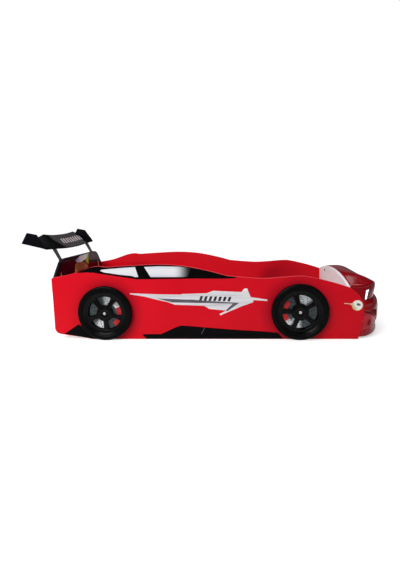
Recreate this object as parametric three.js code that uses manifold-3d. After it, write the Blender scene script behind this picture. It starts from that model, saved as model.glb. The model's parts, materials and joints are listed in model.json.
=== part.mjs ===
// A child's single bed in the shape of a race car. Two cut-out side panels carry the headboard, the
// footboard and the slatted base. A moulded bonnet and bumper close the front, a wing stands on two
// struts behind the headboard, and each wheel has a rim that spins on its centre bolt inside a fixed
// tyre, in front of a brake disc and a caliper. A push switch in the footboard lights the headlights.
//
// Millimetres. +X points to the car's front, +Y to its left side and +Z up. X is counted from the rear
// edge of the side panels, and the whole bed is moved at the end so that the origin lies on the floor
// under the middle of its box.

import * as THREE from "three";
import { mergeVertices } from "three/addons/utils/BufferGeometryUtils.js";
import Module from "manifold-3d";

const wasm = await Module();
wasm.setup();

// ---- Driving dimensions -------------------------------------------------------------------------

const GAP = 0.3; // left between pieces that touch
const BOARD = 18; // thickness of the side panels, headboard and footboard
const OUTER_Y = 515; // outer face of a side panel
const INNER_Y = OUTER_Y - BOARD;
const FIT_Y = INNER_Y - GAP; // half width of what fits between the side panels

const WHEEL_R = 184;
const WHEEL_DEPTH = 37; // how far a wheel stands proud of its side panel
const AXLE_X = { rear: 362, front: 1650 };
const SIDES = { right: -1, left: 1 };

const HEADBOARD_X = 6.3; // rear face
const HEADBOARD_TOP = 537;
const FACE_PLATE = 3; // glossy printed plate on the headboard
const FOOTBOARD_X = 1950; // rear face
const ARCH_TOP = 401; // top of the footboard's arch, on the middle plane
const ARCH_R = 2221;

const SLAT = { count: 12, width: 80, thickness: 18, length: 980, fromEnd: 12 };
const RAIL = { width: 30, height: 60, bottom: 137 };
const RAIL_TOP = RAIL.bottom + RAIL.height;
const RAIL_START = HEADBOARD_X + BOARD + FACE_PLATE + 3 * GAP;
const RAIL_END = FOOTBOARD_X - GAP;
const BEAM_HALF = 20; // half width of the centre beam and of its feet
const FOOT_X = { rear: 670, front: 1300 };

const SHELL = 4; // wall of the moulded bonnet and bumper
const NOSE_BOTTOM = 250; // height where the bonnet stands on the bumper
const BONNET_TOP = 405;
const BUMPER_FRONT = 2236;
const BUMPER_BOTTOM = 12;
const NOSE_GAP = 1; // between the side panels' curved front edge and the bumper

const WING_REAR = -208; // rearmost corner of the end plates
const WING_HALF = 466; // from the middle plane to an end plate
const END_PLATE = 10;

const ORIGIN_X = (WING_REAR + BUMPER_FRONT) / 2;

const BOLT_R = 5;
const BOLT_HOLE_R = 5.5; // in the spinning rim
const PANEL_HOLE_R = 7; // in the side panels
const ROUND = 30; // facets of a wheel part

// ---- Materials ----------------------------------------------------------------------------------

const finish = (color, roughness, metalness = 0) =>
  new THREE.MeshStandardMaterial({ color, roughness, metalness });

const redPanel = () => finish(0xd20f1e, 0.35);
const redShell = () => finish(0x8c0510, 0.15);
const blackPlastic = () => finish(0x0c0c0e, 0.4);
const blackGloss = () => finish(0x1c0a10, 0.12);
const paleBoard = () => finish(0xdcc4cc, 0.4);
const beech = () => finish(0xc9a36f, 0.6);
const steel = () => finish(0x8f959a, 0.3, 1);
const silver = () => finish(0xd8dadc, 0.25, 1);
const clearLens = () => finish(0xf2f6ff, 0.05);

// ---- Solids -------------------------------------------------------------------------------------

// A closed three.js geometry as a manifold solid.
function toSolid(geometry) {
  const bare = geometry.clone();
  bare.deleteAttribute("normal");
  bare.deleteAttribute("uv");
  const merged = mergeVertices(bare, 1e-3);
  return new wasm.Manifold(
    new wasm.Mesh({
      numProp: 3,
      vertProperties: merged.attributes.position.array,
      triVerts: new Uint32Array(merged.index.array),
    }),
  );
}

// The largest body of a solid as a three.js geometry.
function toGeometry(solid) {
  const [largest] = solid.decompose().sort((a, b) => b.volume() - a.volume());
  const mesh = largest.getMesh();
  return new THREE.BufferGeometry()
    .setAttribute("position", new THREE.BufferAttribute(mesh.vertProperties, 3))
    .setIndex(new THREE.BufferAttribute(mesh.triVerts, 1));
}

const join = (...geometries) => geometries.map(toSolid).reduce((a, b) => a.add(b));
const cut = (solid, ...tools) => tools.map(toSolid).reduce((a, b) => a.subtract(b), solid);

function box([x0, x1], [y0, y1], [z0, z1]) {
  const geometry = new THREE.BoxGeometry(x1 - x0, y1 - y0, z1 - z0);
  return geometry.translate((x0 + x1) / 2, (y0 + y1) / 2, (z0 + z1) / 2);
}

// A shape drawn in X and Z, given thickness from y0 to y1.
function plateXZ(shape, y0, y1, curveSegments = 3) {
  const options = { depth: y1 - y0, bevelEnabled: false, curveSegments };
  return new THREE.ExtrudeGeometry(shape, options).rotateX(Math.PI / 2).translate(0, y1, 0);
}

// A shape drawn in Y and Z, given thickness from x0 to x1.
function plateYZ(shape, x0, x1, curveSegments = 16) {
  const options = { depth: x1 - x0, bevelEnabled: false, curveSegments };
  const turn = new THREE.Matrix4().makeBasis(
    new THREE.Vector3(0, 1, 0),
    new THREE.Vector3(0, 0, 1),
    new THREE.Vector3(1, 0, 0),
  );
  return new THREE.ExtrudeGeometry(shape, options).applyMatrix4(turn).translate(x0, 0, 0);
}

// A solid through convex rings of equally many points, with a flat cap at each end.
function loft(rings) {
  const count = rings[0].length;
  const positions = rings.flat(2);
  const index = [];
  for (let ring = 0; ring + 1 < rings.length; ring++) {
    for (let i = 0; i < count; i++) {
      const a = ring * count + i;
      const b = ring * count + ((i + 1) % count);
      index.push(a, b, b + count, a, b + count, a + count);
    }
  }
  const last = (rings.length - 1) * count;
  for (let i = 1; i + 1 < count; i++) {
    index.push(0, i + 1, i, last, last + i, last + i + 1);
  }
  const geometry = new THREE.BufferGeometry();
  geometry.setAttribute("position", new THREE.Float32BufferAttribute(positions, 3));
  return geometry.setIndex(index);
}

const vectors = (pairs) => pairs.map(([a, b]) => new THREE.Vector2(a, b));
const polygon = (pairs) => new THREE.Shape(vectors(pairs));

// ---- Side panels --------------------------------------------------------------------------------

// The panels' front edge bows forward; the bumper follows the same curve.
const frontEdgeX = (z) => 2053 - 0.00089 * (z - 190) ** 2;

function sidePanelShape() {
  const shape = new THREE.Shape();
  shape.moveTo(265, 0);
  shape.splineThru(vectors([[172, 16], [60, 32], [16, 45], [0, 68]])); // tail rises to the rear edge
  shape.lineTo(0, 410);
  shape.quadraticCurveTo(0, 424, 16, 427);
  shape.splineThru(
    vectors([[136, 448], [267, 489], [332, 498], [386, 492], [508, 498], [727, 504], [900, 491],
      [1063, 457], [1179, 424]]), // over the rear wheel and down to the door sill
  );
  shape.splineThru(
    vectors([[1295, 412], [1410, 404], [1525, 409], [1639, 416], [1714, 409], [1865, 370], [1977, 328],
      [2030, 276], [frontEdgeX(230), 230]]), // over the front wheel and down to the nose
  );
  for (const z of [190, 150, 110, 70, 35, 0]) {
    shape.lineTo(frontEdgeX(z), z);
  }
  for (const x of Object.values(AXLE_X)) {
    shape.holes.push(new THREE.Path().absarc(x, WHEEL_R, PANEL_HOLE_R, 0, 2 * Math.PI));
  }
  return shape;
}

function sidePanel(side) {
  const faces = [side * INNER_Y, side * OUTER_Y].sort((a, b) => a - b);
  return plateXZ(sidePanelShape(), ...faces);
}

// ---- Headboard and footboard --------------------------------------------------------------------

// Flat top, rounded shoulders and straight sides between the side panels.
function headboardShape(bottom, inset = 0) {
  const half = FIT_Y - inset;
  const top = HEADBOARD_TOP - inset;
  const shape = new THREE.Shape();
  shape.moveTo(-half, bottom);
  shape.lineTo(half, bottom);
  shape.lineTo(half, 430 - inset);
  shape.lineTo(412 - inset, 507 - inset);
  shape.quadraticCurveTo(382, top, 332, top);
  shape.lineTo(-332, top);
  shape.quadraticCurveTo(-382, top, -412 + inset, 507 - inset);
  shape.lineTo(-half, 430 - inset);
  return shape;
}

function headboardPanel() {
  return plateYZ(headboardShape(70), HEADBOARD_X, HEADBOARD_X + BOARD, 6);
}

function headboardFace() {
  const back = HEADBOARD_X + BOARD + GAP;
  return plateYZ(headboardShape(220, 4), back, back + FACE_PLATE, 6);
}

// A flat-bottomed shape whose top is a wide arch.
function archShape(half, bottom, top) {
  const reach = Math.asin(half / ARCH_R);
  const shape = new THREE.Shape();
  shape.moveTo(-half, bottom);
  shape.lineTo(half, bottom);
  shape.absarc(0, top - ARCH_R, ARCH_R, Math.PI / 2 - reach, Math.PI / 2 + reach);
  return shape;
}

const SWITCH = { y: 255, z: 356, hole: 7.5, collar: 9.5, button: 5, travel: 2.5 };

function footboardPanel() {
  const board = plateYZ(archShape(FIT_Y, 60, ARCH_TOP), FOOTBOARD_X, FOOTBOARD_X + BOARD);
  const hole = new THREE.CylinderGeometry(SWITCH.hole, SWITCH.hole, 4 * BOARD, 14);
  hole.rotateZ(Math.PI / 2).translate(FOOTBOARD_X, SWITCH.y, SWITCH.z);
  return toGeometry(cut(toSolid(board), hole));
}

// Turns a profile about the X axis, at the switch's place in the footboard.
function turnedAtSwitch(profile) {
  const turned = new THREE.LatheGeometry(vectors(profile), 14);
  return turned.rotateZ(Math.PI / 2).translate(FOOTBOARD_X, SWITCH.y, SWITCH.z);
}

// Along the profile's second value, 0 is the footboard's rear face and positive is towards the rear.
function switchBezel() {
  const { hole, collar, button } = SWITCH;
  const barrel = hole - GAP;
  const bore = button + 0.4;
  return turnedAtSwitch([
    [bore, -12], [barrel, -12], [barrel, GAP], [collar, GAP], [collar, 2], [bore, 2], [bore, -12],
  ]);
}

function switchButton() {
  const { button, travel } = SWITCH;
  return turnedAtSwitch([[0, -8], [button, -8], [button, 2 + travel], [0, 2 + travel + 1]]);
}

// ---- Slatted base -------------------------------------------------------------------------------

function sideRail(side) {
  const faces = [side * FIT_Y, side * (FIT_Y - RAIL.width)].sort((a, b) => a - b);
  return box([RAIL_START, RAIL_END], faces, [RAIL.bottom, RAIL_TOP]);
}

function centreBeam() {
  return box([RAIL_START, RAIL_END], [-BEAM_HALF, BEAM_HALF], [RAIL.bottom, RAIL_TOP]);
}

function centreFoot(x) {
  return box([x - BEAM_HALF, x + BEAM_HALF], [-BEAM_HALF, BEAM_HALF], [0, RAIL.bottom - GAP]);
}

function slat(number) {
  const first = RAIL_START + SLAT.fromEnd;
  const pitch = (RAIL_END - SLAT.fromEnd - SLAT.width - first) / (SLAT.count - 1);
  const x = first + (number - 1) * pitch;
  const bottom = RAIL_TOP + GAP;
  return box([x, x + SLAT.width], [-SLAT.length / 2, SLAT.length / 2], [bottom, bottom + SLAT.thickness]);
}

// ---- Bonnet -------------------------------------------------------------------------------------

const BONNET_REAR = FOOTBOARD_X + BOARD + GAP;
const BONNET_SIDE_X = 2040; // where the straight flank turns into the rounded nose
const BONNET_NOSE = 175; // how far the nose reaches past that line

// Plan of the bonnet at one height: straight flanks and a half-ellipse nose, pulled in by inset.
function bonnetRing(z, nose, inset) {
  const half = FIT_Y - inset;
  const ring = [[BONNET_REAR - inset, half, z], [BONNET_REAR - inset, -half, z]];
  const steps = 22;
  for (let i = 0; i <= steps; i++) {
    const angle = -Math.PI / 2 + (Math.PI * i) / steps;
    ring.push([BONNET_SIDE_X + (nose - inset) * Math.cos(angle), half * Math.sin(angle), z]);
  }
  return ring;
}

// The nose leans back towards the bumper, the top is arched and falls away to the front.
function bonnetBlock(inset, bottom) {
  const lean = 14;
  const plan = loft([
    bonnetRing(bottom, BONNET_NOSE - lean, inset),
    bonnetRing(310, BONNET_NOSE, inset),
    bonnetRing(BONNET_TOP + 10, BONNET_NOSE, inset),
  ]);
  const arch = plateYZ(archShape(FIT_Y + 2, bottom - 5, BONNET_TOP - inset), BONNET_REAR - 20, 2300);
  const side = new THREE.Shape();
  side.moveTo(BONNET_REAR - 30, bottom - 10);
  side.lineTo(BONNET_REAR - 30, 420 - inset);
  side.splineThru(
    vectors([[2030, 408 - inset], [2076, 388 - inset], [2133, 362 - inset], [2185, 334 - inset],
      [2212 - inset, 316 - inset], [2220 - inset, 296 - inset]]),
  );
  side.lineTo(2220 - inset, bottom - 10);
  const profile = plateXZ(side, -INNER_Y - 5, INNER_Y + 5);
  return toSolid(plan).intersect(toSolid(arch)).intersect(toSolid(profile));
}

function bonnetFull() {
  const bottom = NOSE_BOTTOM + GAP;
  return bonnetBlock(0, bottom).subtract(bonnetBlock(SHELL, bottom - 20));
}

// A leaning four-sided window round the bonnet's front corner.
function headlightWindow(side, shrink) {
  const window = polygon([
    [2047 + shrink, 255 + shrink],
    [2080 - shrink, 255 + shrink],
    [2092 - shrink, 318 - shrink],
    [2057 + shrink, 311 - shrink],
  ]);
  const faces = [side * 440, side * (INNER_Y + 3)].sort((a, b) => a - b);
  return plateXZ(window, ...faces);
}

function bonnetShell() {
  const windows = Object.values(SIDES).map((side) => headlightWindow(side, 0));
  return toGeometry(cut(bonnetFull(), ...windows));
}

function headlightLens(side) {
  return toGeometry(bonnetFull().intersect(toSolid(headlightWindow(side, GAP))));
}

const LAMP = { x: [2032, 2068], z: [262, 306], inner: 440, outer: 476 };
const LAMP_FOOT = { x: [2008, 2040], z: [268, 300], inner: 460 };

// Lamp body behind the lens, with a foot on the bonnet's flank.
function headlightLamp(side) {
  const across = (near, far) => [side * near, side * far].sort((a, b) => a - b);
  const flank = FIT_Y - SHELL - GAP;
  return toGeometry(
    join(
      box(LAMP.x, across(LAMP.inner, LAMP.outer), LAMP.z),
      box(LAMP_FOOT.x, across(LAMP_FOOT.inner, flank), LAMP_FOOT.z),
    ),
  );
}

const DRIVER = { depth: 34, half: 60, bottom: 150, top: 205 };

function lampDriverBox() {
  const back = FOOTBOARD_X + BOARD + GAP;
  return box([back, back + DRIVER.depth], [-DRIVER.half, DRIVER.half], [DRIVER.bottom, DRIVER.top]);
}

// ---- Bumper -------------------------------------------------------------------------------------

// Height and how far the outline is pulled in there: lip, waist, full belly and rounded top ledge.
const BUMPER_LEVELS = [
  [BUMPER_BOTTOM, 24], [20, 11], [32, 6], [44, 8], [60, 15], [80, 13], [102, 4], [130, 0], [165, 0],
  [195, 0], [218, 4], [236, 14], [NOSE_BOTTOM, 36],
];

function bumperRing(z, pull, wall) {
  const rear = frontEdgeX(z) + NOSE_GAP;
  const start = wall ? rear - 10 : rear;
  const reach = BUMPER_FRONT - pull - wall - start;
  const half = OUTER_Y - pull / 2 - wall;
  const steps = 22;
  const ring = [];
  for (let i = 0; i <= steps; i++) {
    const angle = -Math.PI / 2 + (Math.PI * i) / steps;
    const along = Math.cos(angle);
    ring.push([start + reach * along, half * Math.sin(angle), z]);
  }
  return ring;
}

function bumperBlock(wall) {
  const low = BUMPER_BOTTOM + wall;
  const high = NOSE_BOTTOM - wall;
  const levels = BUMPER_LEVELS.map(([z, pull]) => [Math.min(Math.max(z, low), high), pull]);
  return toSolid(loft(levels.map(([z, pull]) => bumperRing(z, pull, wall))));
}

const grilleWindow = (grow) => box([2100, 2300], [-215 - grow, 215 + grow], [78 - grow, 178 + grow]);

function fogWindow(side, shrink) {
  const oval = new THREE.Shape();
  oval.absellipse(2096, 101, 14 - shrink, 23 - shrink, 0, 2 * Math.PI);
  const faces = [side * 440, side * (OUTER_Y + 3)].sort((a, b) => a - b);
  return plateXZ(oval, ...faces, 8);
}

function bumperShell() {
  const walls = bumperBlock(0).subtract(bumperBlock(SHELL));
  return toGeometry(cut(walls, grilleWindow(0), fogWindow(1, 0), fogWindow(-1, 0)));
}

function fogLamp(side) {
  const walls = bumperBlock(0).subtract(bumperBlock(SHELL));
  return toGeometry(walls.intersect(toSolid(fogWindow(side, GAP))));
}

// A plate that backs the grille window from inside.
function grilleInsert() {
  const plate = bumperBlock(SHELL + GAP).subtract(bumperBlock(2 * SHELL));
  return toGeometry(plate.intersect(toSolid(grilleWindow(12))));
}

// ---- Wing ---------------------------------------------------------------------------------------

// Heights of the wing's rear and front edge at stations out from the middle plane.
const WING_STATIONS = [
  { y: 0, rear: 697, front: 606 },
  { y: 110, rear: 698, front: 607 },
  { y: 210, rear: 704, front: 611 },
  { y: 282, rear: 710, front: 615 },
  { y: 380, rear: 690, front: 619 },
  { y: WING_HALF - GAP, rear: 668, front: 622 },
];

const CHORD = { rear: -138, front: -35, sag: 7, thickness: 11, tail: 6 };

// One section of the blade: it sags in the middle of its chord and thins to its tail.
function wingRing(y, rear, front) {
  const middle = (rear + front) / 2 - CHORD.sag;
  const middleX = (CHORD.rear + CHORD.front) / 2;
  return [
    [CHORD.rear, y, rear], [middleX, y, middle], [CHORD.front, y, front],
    [CHORD.front + 3, y, front - CHORD.thickness], [middleX, y, middle - CHORD.thickness],
    [CHORD.rear - 2, y, rear - CHORD.tail],
  ];
}

function wingBlade() {
  const left = WING_STATIONS.map(({ y, rear, front }) => wingRing(y, rear, front));
  const right = WING_STATIONS.slice(1).map(({ y, rear, front }) => wingRing(-y, rear, front));
  return loft([...right.reverse(), ...left]);
}

function wingEndPlate(side) {
  const shape = polygon([[WING_REAR, 656], [-165, 728], [-98, 714], [-35, 623], [-45, 616]]);
  const faces = [side * WING_HALF, side * (WING_HALF + END_PLATE)].sort((a, b) => a - b);
  return plateXZ(shape, ...faces);
}

const STRUT = { y: 324, width: 12, depth: 18, foot: 420, bend: 534, top: 622 };

// A flat bar that leaves the headboard's rear face and leans back to the wing.
function wingStrut(side) {
  const back = HEADBOARD_X - GAP;
  const shape = polygon([
    [back - STRUT.depth, STRUT.foot], [back, STRUT.foot], [back, STRUT.bend], [-30, STRUT.top - 10],
    [-40, STRUT.top], [-66, STRUT.top], [-14, STRUT.bend - 4],
  ]);
  const faces = [side * STRUT.y, side * (STRUT.y + STRUT.width)].sort((a, b) => a - b);
  const lowered = wingBlade().translate(0, 0, -GAP);
  return toGeometry(cut(toSolid(plateXZ(shape, ...faces)), wingBlade(), lowered));
}

// ---- Wheels -------------------------------------------------------------------------------------

// Wheel parts are drawn about the axle, with y counted outwards from the side panel's face.
const turned = (profile, segments = ROUND) => new THREE.LatheGeometry(vectors(profile), segments);

const BEAD_R = 150; // where tyre and rim meet
const WINDOW_R = 114; // outer end of the openings between the spokes
const HUB_R = 56;
const SPOKES = 5;
const SPOKE_WIDTH = 31;
const FLANGE_R = 104; // inner edge of the tyre moulding's thin back flange, screwed to the side panel
const FLANGE = 2;
const DISC_R = 110;
const CALIPER_SPREAD = (38 * Math.PI) / 180; // to each side of its middle

function tyre() {
  const back = GAP + FLANGE;
  return turned([
    [FLANGE_R, GAP], [WHEEL_R - 6, GAP], [WHEEL_R, 8], [WHEEL_R, 25], [WHEEL_R - 6, 34],
    [WHEEL_R - 16, WHEEL_DEPTH], [BEAD_R + 6, WHEEL_DEPTH - 1], [BEAD_R, WHEEL_DEPTH - 4],
    [BEAD_R, back], [FLANGE_R, back], [FLANGE_R, GAP],
  ]);
}

function rim() {
  const edge = BEAD_R * Math.cos(Math.PI / ROUND) - 0.5; // clear of the tyre's facets as it turns
  const ring = turned([
    [edge, 18], [edge, 33], [edge - 6, 34], [edge - 14, 27], [WINDOW_R, 23], [WINDOW_R, 15.5],
    [edge - 8, 15.5], [edge, 18],
  ]);
  const hub = turned([[BOLT_HOLE_R, 9], [30, 9], [HUB_R, 15.5], [HUB_R, 24], [40, 26], [BOLT_HOLE_R, 26],
    [BOLT_HOLE_R, 9]]);
  const parts = [ring, hub];
  for (let i = 0; i < SPOKES; i++) {
    const half = SPOKE_WIDTH / 2;
    const spoke = box([HUB_R - 8, WINDOW_R + 6], [16, 23.5], [-half, half]);
    parts.push(spoke.rotateY((2 * Math.PI * i) / SPOKES));
  }
  return toGeometry(join(...parts));
}

function brakeDisc() {
  return turned([[BOLT_HOLE_R + 1, GAP], [40, GAP], [40, 5], [DISC_R, 5], [DISC_R, 8], [BOLT_HOLE_R + 1, 8],
    [BOLT_HOLE_R + 1, GAP]]);
}

// A block that bridges the disc's edge, with its foot on the tyre moulding's flange.
function brakeCaliper() {
  const inner = 80;
  const outer = 124;
  const front = 14;
  const sector = (from, back) => {
    const shape = new THREE.Shape();
    shape.absarc(0, 0, outer, -CALIPER_SPREAD, CALIPER_SPREAD);
    shape.absarc(0, 0, from, CALIPER_SPREAD, -CALIPER_SPREAD, true);
    return plateXZ(shape, back, front, 8);
  };
  return toGeometry(join(sector(inner, 8.4), sector(DISC_R + 2, 2 * GAP + FLANGE)));
}

function centreBolt() {
  return turned([[0, -BOARD], [BOLT_R, -BOARD], [BOLT_R, 26.4], [10, 26.4], [10, 30], [8, 32], [0, 32]], 16);
}

// ---- Assembly -----------------------------------------------------------------------------------

const bed = new THREE.Group();

function add(parent, name, geometry, material) {
  const mesh = new THREE.Mesh(geometry, material);
  mesh.name = name;
  parent.add(mesh);
  return mesh;
}

// How each axle's rims happen to stand, and where the middle of its calipers is, in radians.
const SPIN = { rear: 0.28, front: -0.56 };
const CALIPER_TURN = { rear: 0.26, front: Math.PI + 0.09 };

function addWheel(axle, sideName) {
  const wheel = new THREE.Group();
  wheel.position.set(AXLE_X[axle], SIDES[sideName] * OUTER_Y, WHEEL_R);
  wheel.scale.y = SIDES[sideName];
  bed.add(wheel);
  const label = `${axle}_${sideName}`;
  add(wheel, `tyre_${label}`, tyre(), blackPlastic());
  add(wheel, `rim_${label}`, rim(), blackPlastic()).rotation.y = SPIN[axle];
  add(wheel, `brake_disc_${label}`, brakeDisc(), steel());
  add(wheel, `caliper_${label}`, brakeCaliper(), redShell()).rotation.y = CALIPER_TURN[axle];
  add(wheel, `centre_bolt_${label}`, centreBolt(), silver());
}

for (const [sideName, side] of Object.entries(SIDES)) {
  add(bed, `side_panel_${sideName}`, sidePanel(side), redPanel());
  add(bed, `side_rail_${sideName}`, sideRail(side), beech());
  add(bed, `headlight_lens_${sideName}`, headlightLens(side), clearLens());
  add(bed, `headlight_lamp_${sideName}`, headlightLamp(side), blackPlastic());
  add(bed, `fog_lamp_${sideName}`, fogLamp(side), clearLens());
  add(bed, `wing_end_plate_${sideName}`, wingEndPlate(side), blackPlastic());
  add(bed, `wing_strut_${sideName}`, wingStrut(side), steel());
  for (const axle of Object.keys(AXLE_X)) {
    addWheel(axle, sideName);
  }
}

add(bed, "headboard_panel", headboardPanel(), blackPlastic());
add(bed, "headboard_face", headboardFace(), blackGloss());
add(bed, "footboard_panel", footboardPanel(), paleBoard());
add(bed, "switch_bezel", switchBezel(), blackPlastic());
add(bed, "switch_button", switchButton(), blackPlastic());
add(bed, "lamp_driver_box", lampDriverBox(), blackPlastic());
add(bed, "centre_beam", centreBeam(), beech());
for (const [end, x] of Object.entries(FOOT_X)) {
  add(bed, `centre_foot_${end}`, centreFoot(x), beech());
}
for (let number = 1; number <= SLAT.count; number++) {
  add(bed, `slat_${String(number).padStart(2, "0")}`, slat(number), beech());
}
add(bed, "bonnet_shell", bonnetShell(), redShell());
add(bed, "bumper_shell", bumperShell(), redShell());
add(bed, "grille_insert", grilleInsert(), blackPlastic());
add(bed, "wing_blade", wingBlade(), blackPlastic());

bed.position.x = -ORIGIN_X;

export default bed;
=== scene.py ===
import json
import math

import bmesh
import bpy
from mathutils import Matrix, Vector


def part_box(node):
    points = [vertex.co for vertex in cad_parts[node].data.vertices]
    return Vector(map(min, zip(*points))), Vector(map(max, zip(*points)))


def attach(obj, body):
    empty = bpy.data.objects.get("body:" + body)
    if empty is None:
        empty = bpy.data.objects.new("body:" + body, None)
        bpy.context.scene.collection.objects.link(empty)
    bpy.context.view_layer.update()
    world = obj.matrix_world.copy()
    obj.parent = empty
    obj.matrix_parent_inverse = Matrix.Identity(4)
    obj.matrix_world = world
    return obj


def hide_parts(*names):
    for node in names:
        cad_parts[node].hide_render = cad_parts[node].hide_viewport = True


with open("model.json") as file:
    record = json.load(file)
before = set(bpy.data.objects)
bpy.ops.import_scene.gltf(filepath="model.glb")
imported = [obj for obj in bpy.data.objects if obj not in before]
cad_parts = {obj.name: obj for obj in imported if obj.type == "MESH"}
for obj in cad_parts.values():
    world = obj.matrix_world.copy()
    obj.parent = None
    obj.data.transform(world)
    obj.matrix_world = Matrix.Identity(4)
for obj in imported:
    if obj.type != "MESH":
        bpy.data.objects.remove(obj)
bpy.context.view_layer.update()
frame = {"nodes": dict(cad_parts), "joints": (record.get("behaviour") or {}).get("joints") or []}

# The looks of the race-car bed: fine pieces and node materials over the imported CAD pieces, then the floor,
# the lights and the camera. X runs forwards, Y to the left, Z up. Blender's lengths are in metres; the
# drawings are in mm, X from the side panels' rear edge and Z from the floor, unless a note says otherwise.

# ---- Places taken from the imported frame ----

MM = 0.001
REAR_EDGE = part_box("side_panel_right")[0].x
PANEL_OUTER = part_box("side_panel_left")[1].y
PANEL_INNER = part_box("side_panel_left")[0].y
FACE_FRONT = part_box("headboard_face")[1].x
INNER_HALF = 496.7  # half the room between the side panels, in mm
FILM = 0.1 * MM  # thickness of a printed film
FILM_STEP = 0.12 * MM  # from one layer of films to the next
SIDES = {"right": -1, "left": 1}
AXLES = {}
for joint in frame["joints"]:
    if joint["name"].startswith("spin_"):
        AXLES[joint["name"][5:]] = Vector(joint["pos_m"])


def along(x):
    """X in metres of a place given in mm from the panels' rear edge."""
    return REAR_EDGE + x * MM


def drawn(pairs):
    """Points (x, z) in mm from the panels' rear edge and the floor, in metres."""
    return [(along(x), z * MM) for x, z in pairs]


# ---- Mesh helpers ----


def catmull(t, a, b, c, d):
    """A value between b and c on the smooth curve through a, b, c and d."""
    v0, v1 = (c - a) / 2, (d - b) / 2
    return (2 * b - 2 * c + v0 + v1) * t**3 + (3 * c - 3 * b - 2 * v0 - v1) * t**2 + v0 * t + b


def spline(points, steps=8):
    """Points along a smooth curve through the given ones."""
    line = []
    for i in range(len(points) - 1):
        around = [points[min(max(i + k, 0), len(points) - 1)] for k in (-1, 0, 1, 2)]
        line += [tuple(catmull(step / steps, *values) for values in zip(*around)) for step in range(steps)]
    return line + [tuple(points[-1])]


def interpolate(line, x):
    """The value at x on a line of (x, value) points, and the last value beyond them."""
    for (x0, value0), (x1, value1) in zip(line, line[1:]):
        if x0 <= x <= x1 and x0 < x1:
            return value0 + (value1 - value0) * (x - x0) / (x1 - x0)
    return line[-1][1]


def smoothstep(low, high, value):
    t = min(max((value - low) / (high - low), 0), 1)
    return t * t * (3 - 2 * t)


def circle(u, w, radius, count=48):
    turn = [2 * math.pi * i / count for i in range(count)]
    return [(u + radius * math.cos(a), w + radius * math.sin(a)) for a in turn]


def link(name, data):
    obj = bpy.data.objects.new(name, data)
    bpy.context.scene.collection.objects.link(obj)
    return obj


def clean(mesh, angle=38):
    """Merges doubles, turns the faces outwards and shades them smooth up to an angle."""
    bm = bmesh.new()
    bm.from_mesh(mesh)
    bmesh.ops.remove_doubles(bm, verts=bm.verts, dist=2e-6)
    bmesh.ops.dissolve_degenerate(bm, edges=bm.edges, dist=1e-7)
    bmesh.ops.recalc_face_normals(bm, faces=bm.faces)
    bm.to_mesh(mesh)
    bm.free()
    mesh.shade_smooth()
    mesh.set_sharp_from_angle(angle=math.radians(angle))
    return mesh


def solid(name, verts, faces, angle=38):
    mesh = bpy.data.meshes.new(name)
    mesh.from_pydata([tuple(v) for v in verts], [], faces)
    return link(name, clean(mesh, angle))


def flat_fill(outline, holes, depth, bevel, steps):
    """A filled outline with rounded edges, as vertices (u, w, t) and faces."""
    curve = bpy.data.curves.new("drawing", "CURVE")
    curve.dimensions = "2D"
    curve.fill_mode = "BOTH"
    curve.extrude = depth / 2 - bevel
    curve.bevel_depth = bevel
    curve.bevel_resolution = steps
    curve.offset = -bevel
    for line in (outline, *holes):
        path = curve.splines.new("POLY")
        path.points.add(len(line) - 1)
        for point, (u, w) in zip(path.points, line):
            point.co = (u, w, 0, 1)
        path.use_cyclic_u = True
    holder = link("drawing", curve)
    bpy.context.view_layer.update()
    shown = holder.evaluated_get(bpy.context.evaluated_depsgraph_get())
    mesh = bpy.data.meshes.new_from_object(shown)
    bpy.data.objects.remove(holder)
    verts = [tuple(v.co) for v in mesh.vertices]
    faces = [tuple(p.vertices) for p in mesh.polygons]
    bpy.data.meshes.remove(mesh)
    return verts, faces


def plate(name, outline, plane, low, high, bevel=1.2 * MM, holes=(), steps=2, angle=38):
    """A board drawn in XZ, YZ or XY, with thickness from low to high and rounded edges."""
    verts, faces = flat_fill(outline, holes, high - low, bevel, steps)
    middle = (low + high) / 2
    place = {
        "XZ": lambda u, w, t: (u, middle + t, w),
        "YZ": lambda u, w, t: (middle + t, u, w),
        "XY": lambda u, w, t: (u, w, middle + t),
    }[plane]
    return solid(name, [place(*v) for v in verts], faces, angle)


def lathe_mesh(profile, segments=96):
    """Vertices and faces of a profile (radius, y) turned about the Y axis."""
    verts, faces = [], []
    for i in range(segments):
        a = 2 * math.pi * i / segments
        verts += [(r * math.cos(a), y, r * math.sin(a)) for r, y in profile]
    count = len(profile)
    for i in range(segments):
        here, there = i * count, (i + 1) % segments * count
        faces += [(here + k, here + k + 1, there + k + 1, there + k) for k in range(count - 1)]
    return verts, faces


def loft_mesh(sections):
    """Vertices and faces through closed sections of equally many points, with both ends filled."""
    count = len(sections[0])
    faces = []
    for start in range(0, (len(sections) - 1) * count, count):
        for k in range(count):
            i, j = start + k, start + (k + 1) % count
            faces.append((i, j, j + count, i + count))
    faces += [tuple(range(count)), tuple((len(sections) - 1) * count + k for k in range(count))]
    return [point for section in sections for point in section], faces


def joined(*parts):
    """Several (vertices, faces) as one."""
    verts, faces = [], []
    for more, polygons in parts:
        faces += [tuple(i + len(verts) for i in polygon) for polygon in polygons]
        verts += more
    return verts, faces


def grid(name, rows, thickness=0, angle=38, skip=None):
    """A surface through rows of points, given a wall inwards if thickness is set."""
    across = len(rows[0])
    faces = []
    for r in range(len(rows) - 1):
        for c in range(across - 1):
            if skip is None or not skip(r, c):
                i = r * across + c
                faces.append((i, i + 1, i + across + 1, i + across))
    obj = solid(name, [p for row in rows for p in row], faces, angle)
    if thickness:
        wall = obj.modifiers.new("wall", "SOLIDIFY")
        wall.thickness = thickness
        wall.offset = -1
        wall.use_even_offset = False
    return obj


# ---- Material helpers ----


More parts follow.
